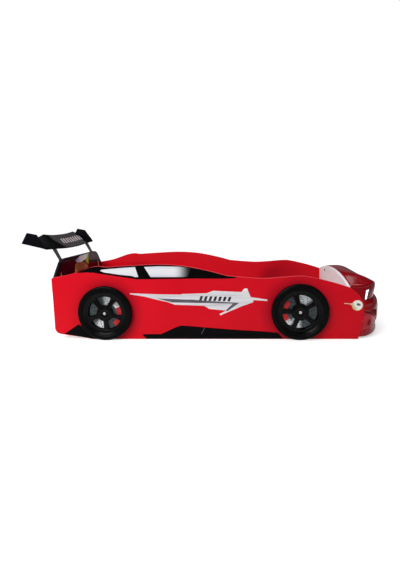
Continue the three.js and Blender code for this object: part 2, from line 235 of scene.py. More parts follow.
class Nodes:
    """A node tree and short ways to add nodes to it. Most give back an output socket."""

    def __init__(self, tree):
        self.tree = tree

    def feed(self, target, value):
        """Links or sets one input. A colour may come without its alpha."""
        if isinstance(value, bpy.types.NodeSocket):
            self.tree.links.new(value, target)
        else:
            target.default_value = (*value, 1) if target.type == "RGBA" and len(value) == 3 else value

    def node(self, kind, inputs=(), **settings):
        made = self.tree.nodes.new(kind)
        for key, value in settings.items():
            setattr(made, key, value)
        for key, value in dict(inputs).items():
            self.feed(made.inputs[key], value)
        return made

    def place(self, stretch):
        """Object coordinates in metres, stretched."""
        where = self.node("ShaderNodeTexCoord").outputs["Object"]
        return self.node("ShaderNodeMapping", {"Vector": where, "Scale": stretch}).outputs["Vector"]

    def noise(self, scale, detail=4, stretch=(1, 1, 1), rough=0.55):
        inputs = {"Vector": self.place(stretch), "Scale": scale, "Detail": detail, "Roughness": rough}
        return self.node("ShaderNodeTexNoise", inputs).outputs["Fac"]

    def wave(self, direction, stretch, scale, distortion):
        inputs = {"Vector": self.place(stretch), "Scale": scale, "Distortion": distortion}
        made = self.node("ShaderNodeTexWave", inputs, wave_type="BANDS", bands_direction=direction)
        return made.outputs["Fac"]

    def ramp(self, fac, *stops):
        """A colour for fac, from stops (position, colour)."""
        made = self.node("ShaderNodeValToRGB", {"Fac": fac})
        band = made.color_ramp
        while len(band.elements) < len(stops):
            band.elements.new(0.5)
        for element, (position, color) in zip(band.elements, stops):
            element.position = position
            element.color = (*color, 1)
        return made.outputs["Color"]

    def span(self, fac, low, high, start=0, end=1, kind="LINEAR"):
        """fac from start..end spread over low..high."""
        inputs = {"Value": fac, "From Min": start, "From Max": end, "To Min": low, "To Max": high}
        return self.node("ShaderNodeMapRange", inputs, interpolation_type=kind).outputs["Result"]

    def math(self, operation, a, b=0):
        return self.node("ShaderNodeMath", {0: a, 1: b}, operation=operation).outputs["Value"]

    def mix(self, fac, a, b, how="MIX"):
        return self.node("ShaderNodeMix", {0: fac, 6: a, 7: b}, data_type="RGBA", blend_type=how).outputs[2]

    def part(self, vector, axis):
        return self.node("ShaderNodeSeparateXYZ", {"Vector": vector}).outputs[axis]

    def axis(self, name):
        return self.part(self.node("ShaderNodeTexCoord").outputs["Object"], name)

    def normal_axis(self, name):
        return self.part(self.node("ShaderNodeNewGeometry").outputs["Normal"], name)

    def reach(self, x, z):
        """Distance from an axis parallel to Y."""
        return self.math("SQRT", self.math("ADD", self.math("POWER", x, 2), self.math("POWER", z, 2)))


class Finish(Nodes):
    """A node material: one Principled shader and the procedural nodes that feed it."""

    def __init__(self, name, specular=0.5, **sockets):
        self.material = bpy.data.materials.new(name)
        self.material.use_nodes = True
        super().__init__(self.material.node_tree)
        self.shader = self.tree.nodes["Principled BSDF"]
        self.set("Specular IOR Level", specular)
        for socket, value in sockets.items():
            self.set(socket.replace("_", " "), value)

    def set(self, socket, value):
        self.feed(self.shader.inputs[socket], value)

    def bump(self, height, distance, strength=1):
        made = self.node("ShaderNodeBump", {"Height": height, "Distance": distance, "Strength": strength})
        self.set("Normal", made.outputs["Normal"])

    def soft(self, scale, low, high):
        """Roughness that varies a little from place to place."""
        self.set("Roughness", self.span(self.noise(scale, 5), low, high, 0.3, 0.7))

    def done(self, color, gloss=None, skin=None):
        """Sets the colour, an uneven gloss and a fine skin where given, and hands over the material."""
        self.set("Base Color", color)
        if gloss:
            self.soft(*gloss)
        if skin:
            scale, detail, depth = skin
            self.bump(self.noise(scale, detail), depth)
        return self.material


def toned(name, specular, scale, detail, first, second, gloss, skin, spread=0.15, stretch=(1, 1, 1),
          **sockets):
    """A surface whose colour drifts between two tones, with an uneven gloss and a fine skin."""
    f = Finish(name, specular, **sockets)
    tone = f.ramp(f.noise(scale, detail, stretch), (0.5 - spread, first), (0.5 + spread, second))
    return f.done(tone, gloss, skin)


def painted(name, base, dark, rough, specular, coat=0, grain=750, depth=0.00008):
    """A coloured surface with faint patches of tone."""
    return toned(name, specular, 2.2, 3, dark, base, (45, *rough), (grain, 2, depth), 0.14,
                 Coat_Weight=coat, Coat_Roughness=0.04)


def make_print(name, first, second, scale=40, stretch=(1, 1, 1), specular=0.25):
    return toned(name, specular, scale, 4, first, second, (60, 0.28, 0.4), (900, 2, 0.00004), stretch=stretch)


def make_red_panel():
    """Red laminate with painted light: painted shade darkening it towards the front and around the wheels,
    and a painted highlight that makes the boards' edges paler.
    """
    f = Finish("red_laminate", 0.12)
    tone = f.ramp(f.noise(1.6, 3), (0.35, (0.74, 0.003, 0.014)), (0.65, (0.82, 0.005, 0.019)))
    # Painted shade: the colour darkens from the rear towards the front.
    lengthwise = f.span(f.axis("X"), 1, 0.8, -0.9, 1)
    grey = f.node("ShaderNodeCombineColor", {0: lengthwise, 1: lengthwise, 2: lengthwise}).outputs[0]
    shaded = f.mix(1, tone, grey, "MULTIPLY")
    # Painted shade around each wheel, strongest on the side towards the middle of the bed.
    for label, inward in (("rear_right", 1), ("front_right", -1)):
        x = f.math("SUBTRACT", f.axis("X"), AXLES[label].x)
        z = f.math("SUBTRACT", f.axis("Z"), AXLES[label].z)
        near = f.span(f.reach(x, z), 1, 0, 0.15, 0.285, "SMOOTHSTEP")
        facing = f.span(f.math("MULTIPLY", x, inward), 0.25, 0.62, -0.15, 0.2, "SMOOTHSTEP")
        shaded = f.mix(f.math("MULTIPLY", near, facing), shaded, (0.17, 0.0002, 0.01))
    # Painted highlight on the boards' edges, where the faces turn away from the sides.
    edge = f.span(f.math("ABSOLUTE", f.normal_axis("Y")), 1, 0, 0.35, 0.75)
    return f.done(f.mix(edge, shaded, (0.86, 0.075, 0.09)), (40, 0.34, 0.46), (900, 2, 0.00006))


def make_pale_board():
    f = Finish("pale_melamine", 0.35)
    fleck = f.ramp(f.noise(420, 2), (0.4, (0.82, 0.76, 0.82)), (0.62, (0.88, 0.83, 0.88)))
    tone = f.mix(f.span(f.noise(3, 2), 0, 0.5, 0.35, 0.65), fleck, (0.85, 0.79, 0.85))
    return f.done(tone, (60, 0.36, 0.48), (650, 3, 0.00012))


def make_red_shell():
    """Deep gloss red, with a painted reflection of the floor that brightens the panel low on the bumper's
    sides.
    """
    f = Finish("red_gloss_shell", 0.4)
    tone = f.ramp(f.noise(5, 3), (0.35, (0.26, 0.0006, 0.006)), (0.65, (0.32, 0.001, 0.008)))
    # Painted reflection of the floor: a brighter red on the panel low on the bumper's sides.
    flank = f.span(f.math("ABSOLUTE", f.axis("Y")), 0, 1, 0.36, 0.46)
    above = f.span(f.axis("Z"), 0, 1, 0.048, 0.062)
    below = f.span(f.axis("Z"), 1, 0, 0.15, 0.166)
    panel = f.math("MULTIPLY", flank, f.math("MULTIPLY", above, below))
    return f.done(f.mix(panel, tone, (0.48, 0.004, 0.018)), (30, 0.1, 0.16), (160, 1, 0.00005))


def make_wing_blade():
    """Black, with a painted reflection: a grey field on the upper face whose right edge runs aslant."""
    f = Finish("wing_black", 0.03)
    rear_x, front_x = (corner.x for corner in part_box("wing_blade"))
    # Painted reflection: grey on the upward faces, everywhere but the right end beyond a slanted edge.
    right_edge = f.span(f.axis("X"), -0.212, -0.13, rear_x, front_x, "SMOOTHSTEP")
    past_right = f.span(f.math("SUBTRACT", f.axis("Y"), right_edge), 0, 1, -0.004, 0.004)
    before_left = f.span(f.axis("Y"), 1, 0, 0.298, 0.306)
    up = f.span(f.normal_axis("Z"), 0, 1, 0.2, 0.4)
    painted_reflection_mask = f.math("MULTIPLY", f.math("MULTIPLY", past_right, before_left), up)
    grey = f.ramp(f.noise(26, 4, (1, 6, 1)), (0.3, (0.04, 0.038, 0.04)), (0.7, (0.078, 0.075, 0.078)))
    f.set("Roughness", f.span(painted_reflection_mask, 0.3, 0.46))
    return f.done(f.mix(painted_reflection_mask, (0.003, 0.003, 0.0038), grey), skin=(800, 2, 0.00007))


def make_disc():
    """Turned steel: fine rings, with painted highlights in two bright lobes across the disc over a dark
    painted-shade tone.
    """
    f = Finish("turned_steel", Metallic=1, Anisotropic=0.85)
    x, z = f.axis("X"), f.axis("Z")
    radius = f.reach(x, z)
    inputs = {"W": radius, "Scale": 900, "Detail": 3.0}
    rings = f.node("ShaderNodeTexNoise", inputs, noise_dimensions="1D").outputs["Fac"]
    # Painted highlight and painted shade: a bright and a dark copy of the steel's colour.
    bright = f.ramp(rings, (0.3, (0.78, 0.84, 0.85)), (0.7, (0.92, 0.96, 0.97)))
    painted_shade_tone = f.ramp(rings, (0.3, (0.06, 0.076, 0.08)), (0.7, (0.12, 0.142, 0.147)))
    # Painted highlights: two lobes along one direction across the disc.
    turned = f.math("ADD", f.math("MULTIPLY", x, 0.34), f.math("MULTIPLY", z, 0.94))
    painted_highlight_lobes = f.math("POWER", f.math("DIVIDE", turned, radius), 2)
    f.set("Roughness", f.span(rings, 0.24, 0.36, 0.3, 0.7))
    f.set("Tangent", f.node("ShaderNodeTangent", direction_type="RADIAL", axis="Y").outputs["Tangent"])
    f.bump(rings, 0.00008, 0.5)
    return f.done(f.mix(f.span(painted_highlight_lobes, 0, 1, 0.72, 1, "SMOOTHSTEP"), painted_shade_tone, bright))


def make_strut():
    f = Finish("anodised_grey", Metallic=0.75)
    brushed = f.noise(60, 4, (60, 1, 1), 0.6)
    f.set("Roughness", f.span(brushed, 0.34, 0.48, 0.3, 0.7))
    f.bump(brushed, 0.00005)
    return f.done(f.ramp(brushed, (0.3, (0.075, 0.077, 0.08)), (0.7, (0.135, 0.138, 0.142))))


def make_beech(lengthwise):
    """Planed beech: fine pores and faint bands along the board."""
    stretch = {"X": (1, 14, 14), "Y": (14, 1, 14), "Z": (14, 14, 1)}[lengthwise]
    f = Finish(f"beech_{lengthwise}", 0.3)
    bands = f.noise(3.2, 5, stretch, 0.62)
    pores = f.noise(34, 3, stretch, 0.7)
    tone = f.ramp(bands, (0.3, (0.4, 0.235, 0.115)), (0.52, (0.52, 0.335, 0.185)),
                  (0.72, (0.62, 0.43, 0.26)))
    f.set("Roughness", f.span(pores, 0.62, 0.48, 0.35, 0.65))
    f.bump(pores, 0.00012)
    return f.done(f.mix(f.span(pores, 0.35, 0, 0.4, 0.55), tone, (0.3, 0.165, 0.08)))


def make_flash():
    """The silver side flash: white above, shading to grey below, with thin slanted streaks."""
    f = Finish("silver_flash_print", 0.25)
    depth = f.span(f.axis("Z"), 0, 1, 0.175, 0.335)
    tone = f.ramp(depth, (0, (0.84, 0.84, 0.86)), (0.35, (0.62, 0.62, 0.66)), (0.55, (0.8, 0.8, 0.83)),
                  (0.75, (0.66, 0.66, 0.7)), (1, (0.93, 0.93, 0.95)))
    streak = f.span(f.noise(16, 3, (0.35, 1, 4)), 0, 0.55, 0.42, 0.66)
    return f.done(f.mix(streak, tone, (0.93, 0.93, 0.95)), (60, 0.34, 0.44), (900, 2, 0.00005))


def make_window(name, near, far):
    """A printed window: bright sky above, fading from near to far along X to black."""
    f = Finish(name, 0.25)
    depth = f.span(f.axis("Z"), 0, 1, 0.415, 0.49)
    sky = f.ramp(depth, (0, (0.62, 0.66, 0.74)), (0.35, (0.86, 0.88, 0.93)), (0.7, (0.93, 0.94, 0.97)),
                 (1, (0.72, 0.77, 0.86)))
    bright = f.mix(f.span(f.noise(11, 3, (0.6, 1, 2.5)), 0, 0.35, 0.45, 0.7), sky, (0.96, 0.96, 0.98))
    fade = f.span(f.axis("X"), 0, 1, near, far, "SMOOTHERSTEP")
    return f.done(f.mix(fade, bright, (0.004, 0.004, 0.005)), (60, 0.28, 0.38), (900, 2, 0.00004))


def make_headlight():
    """A lit lens: fine upright flutes over an even glow."""
    f = Finish("headlight_glow", Roughness=0.08, Coat_Weight=0.4)
    flutes = f.wave("X", (1, 1, 0.1), 55, 0.6)
    glow = f.ramp(flutes, (0.2, (0.86, 0.88, 1)), (0.7, (1, 1, 1)))
    f.set("Emission Color", glow)
    f.set("Emission Strength", 1.5)
    f.bump(flutes, 0.0004)
    return f.done(glow)


def make_fog():
    f = Finish("fog_lens_red", 0.06)
    ribs = f.wave("Z", (1, 1, 1), 60, 0.2)
    f.set("Roughness", f.span(f.noise(90, 2), 0.16, 0.24, 0.3, 0.7))
    f.bump(ribs, 0.00008)
    return f.done(f.ramp(ribs, (0.2, (0.2, 0.0005, 0.006)), (0.8, (0.32, 0.001, 0.012))))


RED_PANEL = make_red_panel()
PALE_BOARD = make_pale_board()
RED_SHELL = make_red_shell()
WING_BLACK = make_wing_blade()
GLOSSY_FACE = toned("glossy_maroon_print", 0.06, 7, 4, (0.006, 0.0012, 0.003), (0.034, 0.002, 0.01),
                    (20, 0.08, 0.15), (300, 1, 0.00003), 0.2, (1, 1, 1.6))
TYRE = toned("tyre_rubber_black", 0.07, 30, 4, (0.0016, 0.0016, 0.0018), (0.0034, 0.0034, 0.0038),
             (70, 0.27, 0.38), (520, 3, 0.0001))
RIM = toned("rim_gloss_black", 0.15, 25, 3, (0.0012, 0.0012, 0.0014), (0.0026, 0.0026, 0.003),
            (50, 0.16, 0.24), (420, 1, 0.00003))
DISC = make_disc()
BOLT = toned("bright_steel", 0.5, 260, 3, (0.72, 0.73, 0.75), (0.86, 0.87, 0.88), (300, 0.18, 0.3),
             (900, 2, 0.00003), 0.2, Metallic=1)
STRUT = make_strut()
BEECH = {axis: make_beech(axis) for axis in "XYZ"}
FLASH = make_flash()
REAR_GLASS = make_window("rear_window_print", 2, 3)
FRONT_GLASS = make_window("front_window_print", along(820), along(950))
BLACK_BOARD = painted("black_board", (0.008, 0.008, 0.009), (0.004, 0.004, 0.005), (0.34, 0.46), 0.1)
END_PLATE = painted("end_plate_black", (0.005, 0.0045, 0.008), (0.003, 0.003, 0.005), (0.3, 0.42), 0.06)
BLACK_FILM = make_print("black_print", (0.0018, 0.0018, 0.002), (0.0035, 0.0035, 0.004), specular=0.04)
SKIRT_FILM = make_print("skirt_print", (0.002, 0.0018, 0.0022), (0.0045, 0.004, 0.005), 90, (1, 1, 5),
                        0.05)
GREY_FILM = make_print("grey_violet_print", (0.085, 0.075, 0.1), (0.16, 0.145, 0.18), 22, (0.4, 1, 3))
DARK_FILM = make_print("dark_stroke_print", (0.018, 0.016, 0.02), (0.045, 0.04, 0.048), 60)
PALE_STROKE = make_print("pale_stroke_print", (0.5, 0.42, 0.44), (0.72, 0.63, 0.65), 60)
BEZEL = make_print("headlight_surround", (0.004, 0.004, 0.02), (0.012, 0.012, 0.05), 80, specular=0.5)
BLACK_PLASTIC = painted("black_plastic", (0.012, 0.012, 0.013), (0.007, 0.007, 0.008), (0.36, 0.5), 0.35,
                        grain=1400, depth=0.00015)
GRILLE = painted("grille_black", (0.01, 0.01, 0.01), (0.005, 0.005, 0.006), (0.4, 0.55), 0.3)
CALIPER = painted("caliper_red", (0.56, 0.01, 0.012), (0.42, 0.005, 0.008), (0.18, 0.28), 0.3, 0.2, 500)
HEADLIGHT = make_headlight()
FOG = make_fog()


def made(piece, body, material, slot, *replaced):
    """Gives a piece its material and its body, and hides the CAD nodes it stands for."""
    piece.data.materials.clear()
    piece.data.materials.append(material)
    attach(piece, body)
    if replaced:
        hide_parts(*replaced)
    return piece


# ---- Side panels and their graphics ----


def front_edge(z):
    """X in mm of the panels' front edge at a height in mm."""
    return 2053 - 0.00089 * (z - 190) ** 2


TAIL = [(265, 0), (172, 16), (60, 32), (16, 45), (0, 68)]
SHOULDER = [(0, 410), (1, 418), (6, 424), (16, 427)]
REAR_HIP = [
    (16, 427), (136, 448), (267, 489), (332, 498), (386, 492), (508, 498), (727, 504), (900, 491),
    (1063, 457), (1179, 424),
]
FRONT_HIP = [(1179, 424), (1295, 412), (1410, 404), (1525, 409), (1639, 416), (1714, 409), (1865, 370),
             (1977, 328), (2030, 276), (front_edge(230), 230)]
TOP_LINE = spline(REAR_HIP, 10)[:-1] + spline(FRONT_HIP, 10)
PANEL_OUTLINE = (
    spline(TAIL, 6) + SHOULDER[:-1] + TOP_LINE + [(front_edge(z), z) for z in range(220, -1, -10)]
)


def top_edge(start, end, drop):
    """The panels' top line between two X in mm, lowered a little."""
    return [(x, z - drop) for x, z in TOP_LINE if start <= x <= end]


def film(name, outline, side, level, material):
    """A printed film on a side panel's outer face. Higher levels lie over lower ones."""
    face = PANEL_OUTER + FILM_STEP * level
    low, high = sorted((SIDES[side] * face, SIDES[side] * (face + FILM)))
    piece = plate(f"{name}_{side}", outline, "XZ", low, high, bevel=0, steps=0)
    return made(piece, "bed", material, "red_panel")


# The graphics are drawn in metres, in the frame's own X and Z.
WINDOW_BAND = [
    (-.84, .4565), (-.803, .4565), (-.768, .459), (-.724, .456), (-.639, .4425), (-.536, .426),
    (-.433, .4085), (-.33, .4076), (-.028, .4085), (.159, .405), (.222, .408),
]
WINDOW_BAND += drawn(reversed(top_edge(176, 1250, 0.8)))
BACK_WINDOW = [
    (-.672, .466), (-.664, .475), (-.636, .478), (-.532, .485), (-.436, .49), (-.417, .424), (-.439, .422),
    (-.456, .43), (-.555, .442), (-.644, .456),
]
DOOR_WINDOW = [
    (-.376, .49), (-.335, .422), (-.115, .4195), (-.09, .422), (-.064, .478), (-.139, .488), (-.278, .493),
]
FLASH_OUTLINE = [
    (-.479, .315), (-.285, .306), (-.138, .303), (-.129, .307), (.033, .31), (.077, .326), (.26, .316),
    (.28, .339), (.298, .339), (.32, .2815), (.427, .265), (.427, .256), (.3375, .262), (.335, .247),
    (.263, .222), (.175, .185), (.121, .162), (.115, .17), (.159, .193), (.0495, .205), (.015, .226),
    (-.179, .235), (-.229, .254), (-.325, .276), (-.382, .292), (-.479, .308),
]
FLASH_BAND = [
    (-.299, .278), (-.069, .268), (.245, .244), (.168, .19), (.156, .193), (.204, .24), (-.07, .247),
    (-.198, .251),
]
SKIRT = [
    (-.411, .034), (-.279, .035), (-.169, .086), (-.143, .093), (-.1, .091), (.183, .066), (.412, .051),
    (.496, .043), (.533, .0015), (-.38, .0015),
]
SKIRT_LINE = [(.013, .077), (.0165, .077), (-.0065, .034), (-.01, .034)]
TAIL_WEDGE = [
    (-.951, .037), (-.847, .104), (-.8, .08), (-.69, .03), (-.69, .0015), (-.752, .0015), (-.8, .01),
    (-.872, .0225),
]
PANEL_FILMS = (
    ("window_band", WINDOW_BAND, 1, BLACK_FILM),
    ("rear_window", BACK_WINDOW, 2, REAR_GLASS),
    ("door_window", DOOR_WINDOW, 2, FRONT_GLASS),
    ("side_flash", FLASH_OUTLINE, 1, FLASH),
    ("flash_band", FLASH_BAND, 2, GREY_FILM),
    ("lower_skirt", SKIRT, 1, SKIRT_FILM),
    ("skirt_line", SKIRT_LINE, 2, GREY_FILM),
    ("tail_wedge", TAIL_WEDGE, 1, SKIRT_FILM),
)
MARKER = (.997, .222, .034)  # the round marker's X, Z and radius


def slanted_stroke(x, z, width, height):
    """A four-sided stroke that leans forwards."""
    lean = 0.35 * height
    return [(x, z), (x + width, z), (x + width + lean, z + height), (x + lean, z + height)]


def panel_graphics(side):
    """The printed films of one side. Generic slanted strokes stand in for the lettering."""
    for name, outline, level, material in PANEL_FILMS:
        film(name, outline, side, level, material)
    for number in range(7):
        stroke = slanted_stroke(-.018 + .031 * number, .262 - .0012 * number, .017, .03)
        film(f"flash_stroke_{number + 1}", stroke, side, 3, DARK_FILM)


for side, sign in SIDES.items():
    low, high = sorted((sign * PANEL_INNER, sign * PANEL_OUTER))
    panel = plate(f"side_panel_fine_{side}", drawn(PANEL_OUTLINE), "XZ", low, high, 1.4 * MM, steps=3)
    made(panel, "bed", RED_PANEL, "red_panel", f"side_panel_{side}")
    panel_graphics(side)


def marker_tail():
    """The drop-shaped tail of the round marker."""
    x, z, _ = MARKER
    upper = spline([(-.082, .0155), (-.046, .0125), (-.03, .0165), (-.012, .0255)], 6)
    lower = spline([(-.02, -.0225), (-.03, -.006), (-.046, .0075), (-.082, .011)], 6)
    return [(x + u, z + w) for u, w in upper + lower]


def make_marker_tail():
    f = Finish("marker_tail_print", 0.25)
    along_tail = f.span(f.axis("X"), 0, 1, .915, .995)
    tone = f.ramp(along_tail, (0, (0.9, 0.55, 0.45)), (0.35, (0.92, 0.72, 0.48)),
                  (0.7, (0.62, 0.5, 0.18)), (1, (0.4, 0.34, 0.16)))
    return f.done(f.mix(f.span(f.noise(120, 2), 0, 0.25), tone, (0.95, 0.88, 0.7)), (60, 0.3, 0.4))


def make_marker_disc():
    """A generic round marker: a pale disc with an olive rim that thins out towards the front."""
    f = Finish("marker_disc_print", 0.3)
    middle_x, middle_z, radius = MARKER
    x, z = f.math("SUBTRACT", f.axis("X"), middle_x), f.math("SUBTRACT", f.axis("Z"), middle_z)
    outwards = f.span(f.reach(x, z), 0, 1, 0, radius)
    face = f.ramp(outwards, (0, (0.95, 0.95, 0.94)), (0.62, (0.98, 0.98, 0.96)),
                  (0.86, (0.97, 0.93, 0.78)), (1, (0.85, 0.62, 0.42)))
    wedge = f.span(f.math("ADD", x, f.math("MULTIPLY", z, 0.6)), 1, 0, -.026, -.01)
    olive = f.mix(wedge, face, (0.62, 0.54, 0.22))
    worn = f.mix(f.span(f.noise(70, 3), 0, 0.5, 0.5, 0.7), olive, (0.55, 0.57, 0.54))
    return f.done(worn, (60, 0.25, 0.35))


MARKER_TAIL = make_marker_tail()
MARKER_DISC = make_marker_disc()
MARKER_SPOT = [(.99, .226), (.998, .238), (1.013, .232), (1.02, .222), (1.002, .219)]
for side in SIDES:
    film("marker_disc", circle(*MARKER), side, 2, MARKER_DISC)
    film("marker_tail", marker_tail(), side, 1, MARKER_TAIL)
    film("marker_stroke", MARKER_SPOT, side, 3, GREY_FILM)

# ---- Headboard and footboard ----


def headboard_outline(bottom, inset=0):
    """The headboard's outline (y, z) in metres, drawn in by an inset in mm everywhere but at its foot."""
    half, top = INNER_HALF - inset, 537 - inset
    corner = [(412 - inset, 507 - inset), (398, 518 - inset), (380, 527 - inset * 1.1), (358, 534 - inset)]
    shoulder = spline(corner + [(332, top)], 6)
    right = [(half, bottom), (half, 430 - inset)] + shoulder
    return [(y * MM, z * MM) for y, z in right + [(-y, z) for y, z in reversed(right)]]


back_low, back_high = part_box("headboard_panel")
board = plate("headboard_board", headboard_outline(70), "YZ", back_low.x, back_high.x, 1.5 * MM, steps=3)
made(board, "bed", BLACK_BOARD, "black_board", "headboard_panel")
face_low, face_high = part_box("headboard_face")
face = plate("headboard_gloss_face", headboard_outline(220, 4), "YZ", face_low.x, face_high.x, 0.8 * MM)
made(face, "bed", GLOSSY_FACE, "glossy_face", "headboard_face")


def face_print(name, outline, level, material):
    """A printed patch on the headboard's glossy face. Higher levels lie over lower ones."""
    low = FACE_FRONT + FILM_STEP * level
    piece = plate(name, outline, "YZ", low, low + FILM, bevel=0, steps=0)
    return made(piece, "bed", material, "glossy_face")


def gloss_print(name, axis, start, end, *colors, cloud=0.3, scale=30):
    """A printed gradient behind gloss, given as stops (share, colour)."""
    f = Finish(name, 0.06)
    tone = f.ramp(f.span(f.axis(axis), 0, 1, start, end), *colors)
    middle = colors[len(colors) // 2][1]
    return f.done(f.mix(f.span(f.noise(scale, 4), 0, cloud, 0.4, 0.65), tone, middle), (20, 0.08, 0.15))


# The patches are drawn in metres, in the frame's own Y and Z.
GREY_CORNER = [
    (.168, .536), (.242, .5335), (.333, .5325), (.36, .529), (.392, .517), (.406, .507), (.455, .462),
    (.442, .452), (.161, .479),
]
SKY = [(-.131, .505), (-.06, .52), (-.023, .53), (.172, .5325), (.146, .498), (-.022, .478), (-.108, .485)]
GREEN = [(.09, .492), (.166, .529), (.152, .443), (.092, .468)]
OCHRE = [
    (-.143, .466), (-.119, .48), (-.022, .48), (.079, .463), (.137, .421), (-.022, .418), (-.089, .416),
    (-.144, .433), (-.143, .466),
]
SEAT_LINE = [
    (-.358, .515), (-.32, .5225), (-.262, .514), (-.243, .499), (-.25, .497), (-.268, .51), (-.32, .518),
    (-.355, .511),
]
GREY_TONE = gloss_print("grey_corner_print", "Z", .45, .54, (0, (0.09, 0.075, 0.085)),
                        (1, (0.17, 0.16, 0.17)), cloud=0.6)
SKY_TONE = gloss_print("sky_print", "Y", -.13, .17, (0, (0.1, 0.13, 0.34)), (0.35, (0.55, 0.66, 0.86)),
                       (0.7, (0.86, 0.95, 0.97)), (1, (0.74, 0.86, 0.78)), scale=22)
GREEN_TONE = gloss_print("green_print", "Z", .445, .53, (0, (0.3, 0.28, 0.06)),
                         (0.5, (0.38, 0.52, 0.03)), (1, (0.62, 0.78, 0.25)), scale=45)
OCHRE_TONE = gloss_print("ochre_print", "Y", -.14, .14, (0, (0.3, 0.16, 0.02)),
                         (0.35, (0.2, 0.08, 0.015)), (0.75, (0.3, 0.13, 0.075)),
                         (1, (0.48, 0.22, 0.14)), scale=34, cloud=0.55)
PEACH = gloss_print("peach_print", "Z", .4, .455, (0, (0.42, 0.1, 0.06)), (0.5, (0.66, 0.27, 0.17)),
                    (1, (0.3, 0.07, 0.05)), scale=60)
PURPLE = gloss_print("purple_line_print", "Y", -.36, -.24, (0, (0.04, 0.012, 0.05)),
                     (0.5, (0.1, 0.03, 0.1)), (1, (0.05, 0.012, 0.04)))
for name, outline, level, material in (
    ("print_grey_corner", GREY_CORNER, 1, GREY_TONE),
    ("print_sky", SKY, 1, SKY_TONE),
    ("print_green", GREEN, 2, GREEN_TONE),
    ("print_ochre", spline(OCHRE, 4)[:-1], 2, OCHRE_TONE),
    ("print_glint_middle", [(-.155, .442), (-.12, .434), (-.1, .412), (-.152, .412)], 3, PEACH),
    ("print_glint_right", [(-.415, .449), (-.402, .447), (-.399, .412), (-.424, .412)], 3, PEACH),
    ("print_glint_left", [(.383, .453), (.403, .45), (.424, .399), (.396, .402)], 3, PEACH),
    ("print_seat_line", spline(SEAT_LINE, 4), 2, PURPLE),
):
    face_print(name, outline, level, material)

ARCH_RADIUS = 2221
FOOTBOARD_TOP = 401


def arch(y, top):
    """Height in mm at y of the shallow arch that the footboard and the bonnet share."""
    return top - ARCH_RADIUS + math.sqrt(ARCH_RADIUS**2 - y**2)


def footboard_outline():
    across = [INNER_HALF - 2 * INNER_HALF * i / 60 for i in range(61)]
    line = [(-INNER_HALF, 60), (INNER_HALF, 60)] + [(y, arch(y, FOOTBOARD_TOP)) for y in across]
    return [(y * MM, z * MM) for y, z in line]


foot_low, foot_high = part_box("footboard_panel")
hole_low, hole_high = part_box("switch_bezel")
switch_y, switch_z = (hole_low.y + hole_high.y) / 2, (hole_low.z + hole_high.z) / 2
switch_hole = circle(switch_y, switch_z, 7.4 * MM, count=32)[::-1]
footboard = plate("footboard_fine", footboard_outline(), "YZ", foot_low.x, foot_high.x, 1.3 * MM,
                  holes=[switch_hole], steps=3)
made(footboard, "bed", PALE_BOARD, "pale_board", "footboard_panel")

COLLAR = [
    (5.6, -11.5), (7.1, -11.5), (7.2, 0.3), (9, 0.3), (9.5, 0.8), (9.3, 1.6), (8.4, 2), (6.3, 2),
    (5.7, 1.5), (5.6, -11.5),
]
BUTTON = [(0, -8), (4.8, -8), (5, -7.6), (5, 4), (4.6, 4.6), (3.6, 4.9), (1.6, 5.2), (1.2, 5), (0, 5)]


def at_switch(name, profile):
    """A profile (radius, towards the rear) in mm turned about X at the switch."""
    verts, faces = lathe_mesh([(r * MM, y * MM) for r, y in profile], 40)
    return solid(name, [(foot_low.x - y, switch_y + x, switch_z + z) for x, y, z in verts], faces)


for name, profile, body, node in (
    ("switch_collar", COLLAR, "bed", "switch_bezel"),
    ("switch_push_button", BUTTON, "switch_body", "switch_button"),
):
    made(at_switch(name, profile), body, BLACK_PLASTIC, "black_plastic", node)

# ---- Slatted base ----


def rounded(u0, u1, w0, w1, radius, steps=3):
    """A rectangle with rounded corners."""
    outline = []
    for quarter, (u, w) in enumerate(((u1, w1), (u0, w1), (u0, w0), (u1, w0))):
        middle_u = u - radius if u == u1 else u + radius
        middle_w = w - radius if w == w1 else w + radius
        for i in range(steps + 1):
            a = math.radians(90 * quarter + 90 * i / steps)
            outline.append((middle_u + radius * math.cos(a), middle_w + radius * math.sin(a)))
    return outline


def timber(name, node, lengthwise, radius=2.5 * MM):
    """A planed board with eased corners, in a CAD node's box."""
    low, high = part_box(node)
    plane = {"X": "YZ", "Y": "XZ", "Z": "XY"}[lengthwise]
    u, w, t = ("XYZ".index(axis) for axis in plane + lengthwise)
    outline = rounded(low[u], high[u], low[w], high[w], radius)
    piece = plate(name, outline, plane, low[t], high[t], 0.8 * MM, steps=1)
    return made(piece, "bed", BEECH[lengthwise], "beech", node)


for side in SIDES:
    timber(f"rail_timber_{side}", f"side_rail_{side}", "X")
timber("beam_timber", "centre_beam", "X")
timber("foot_timber_rear", "centre_foot_rear", "Z")
timber("foot_timber_front", "centre_foot_front", "Z")
for node in sorted(n for n in frame["nodes"] if n.startswith("slat_")):
    timber(node.replace("slat_", "slat_timber_"), node, "Y", 5 * MM)

# ---- Bonnet ----

BONNET_REAR = 1968.3
BONNET_SIDE = 2040  # where the straight sides end and the nose's curve begins
BONNET_NOSE = 175  # how far the nose reaches beyond them
BONNET_CREST = 405
NOSE_BOTTOM = 250.3
NOSE_LEAN = (310, 14)  # the nose leans back by up to 14 mm below this height
LIP = 12  # radius of the rounded edge between top and wall
SEAM = 0.890  # share of the way to the edge where the groove runs


def eased(line, rounds, until):
    """A line of (x, z) whose points are averaged with their neighbours up to an X."""
    for _ in range(rounds):
        middle = [(x, (a[1] + 2 * z + b[1]) / 4) if x < until else (x, z)
                  for a, (x, z), b in zip(line, line[1:], line[2:])]
        line = [line[0]] + middle + [line[-1]]
    return line


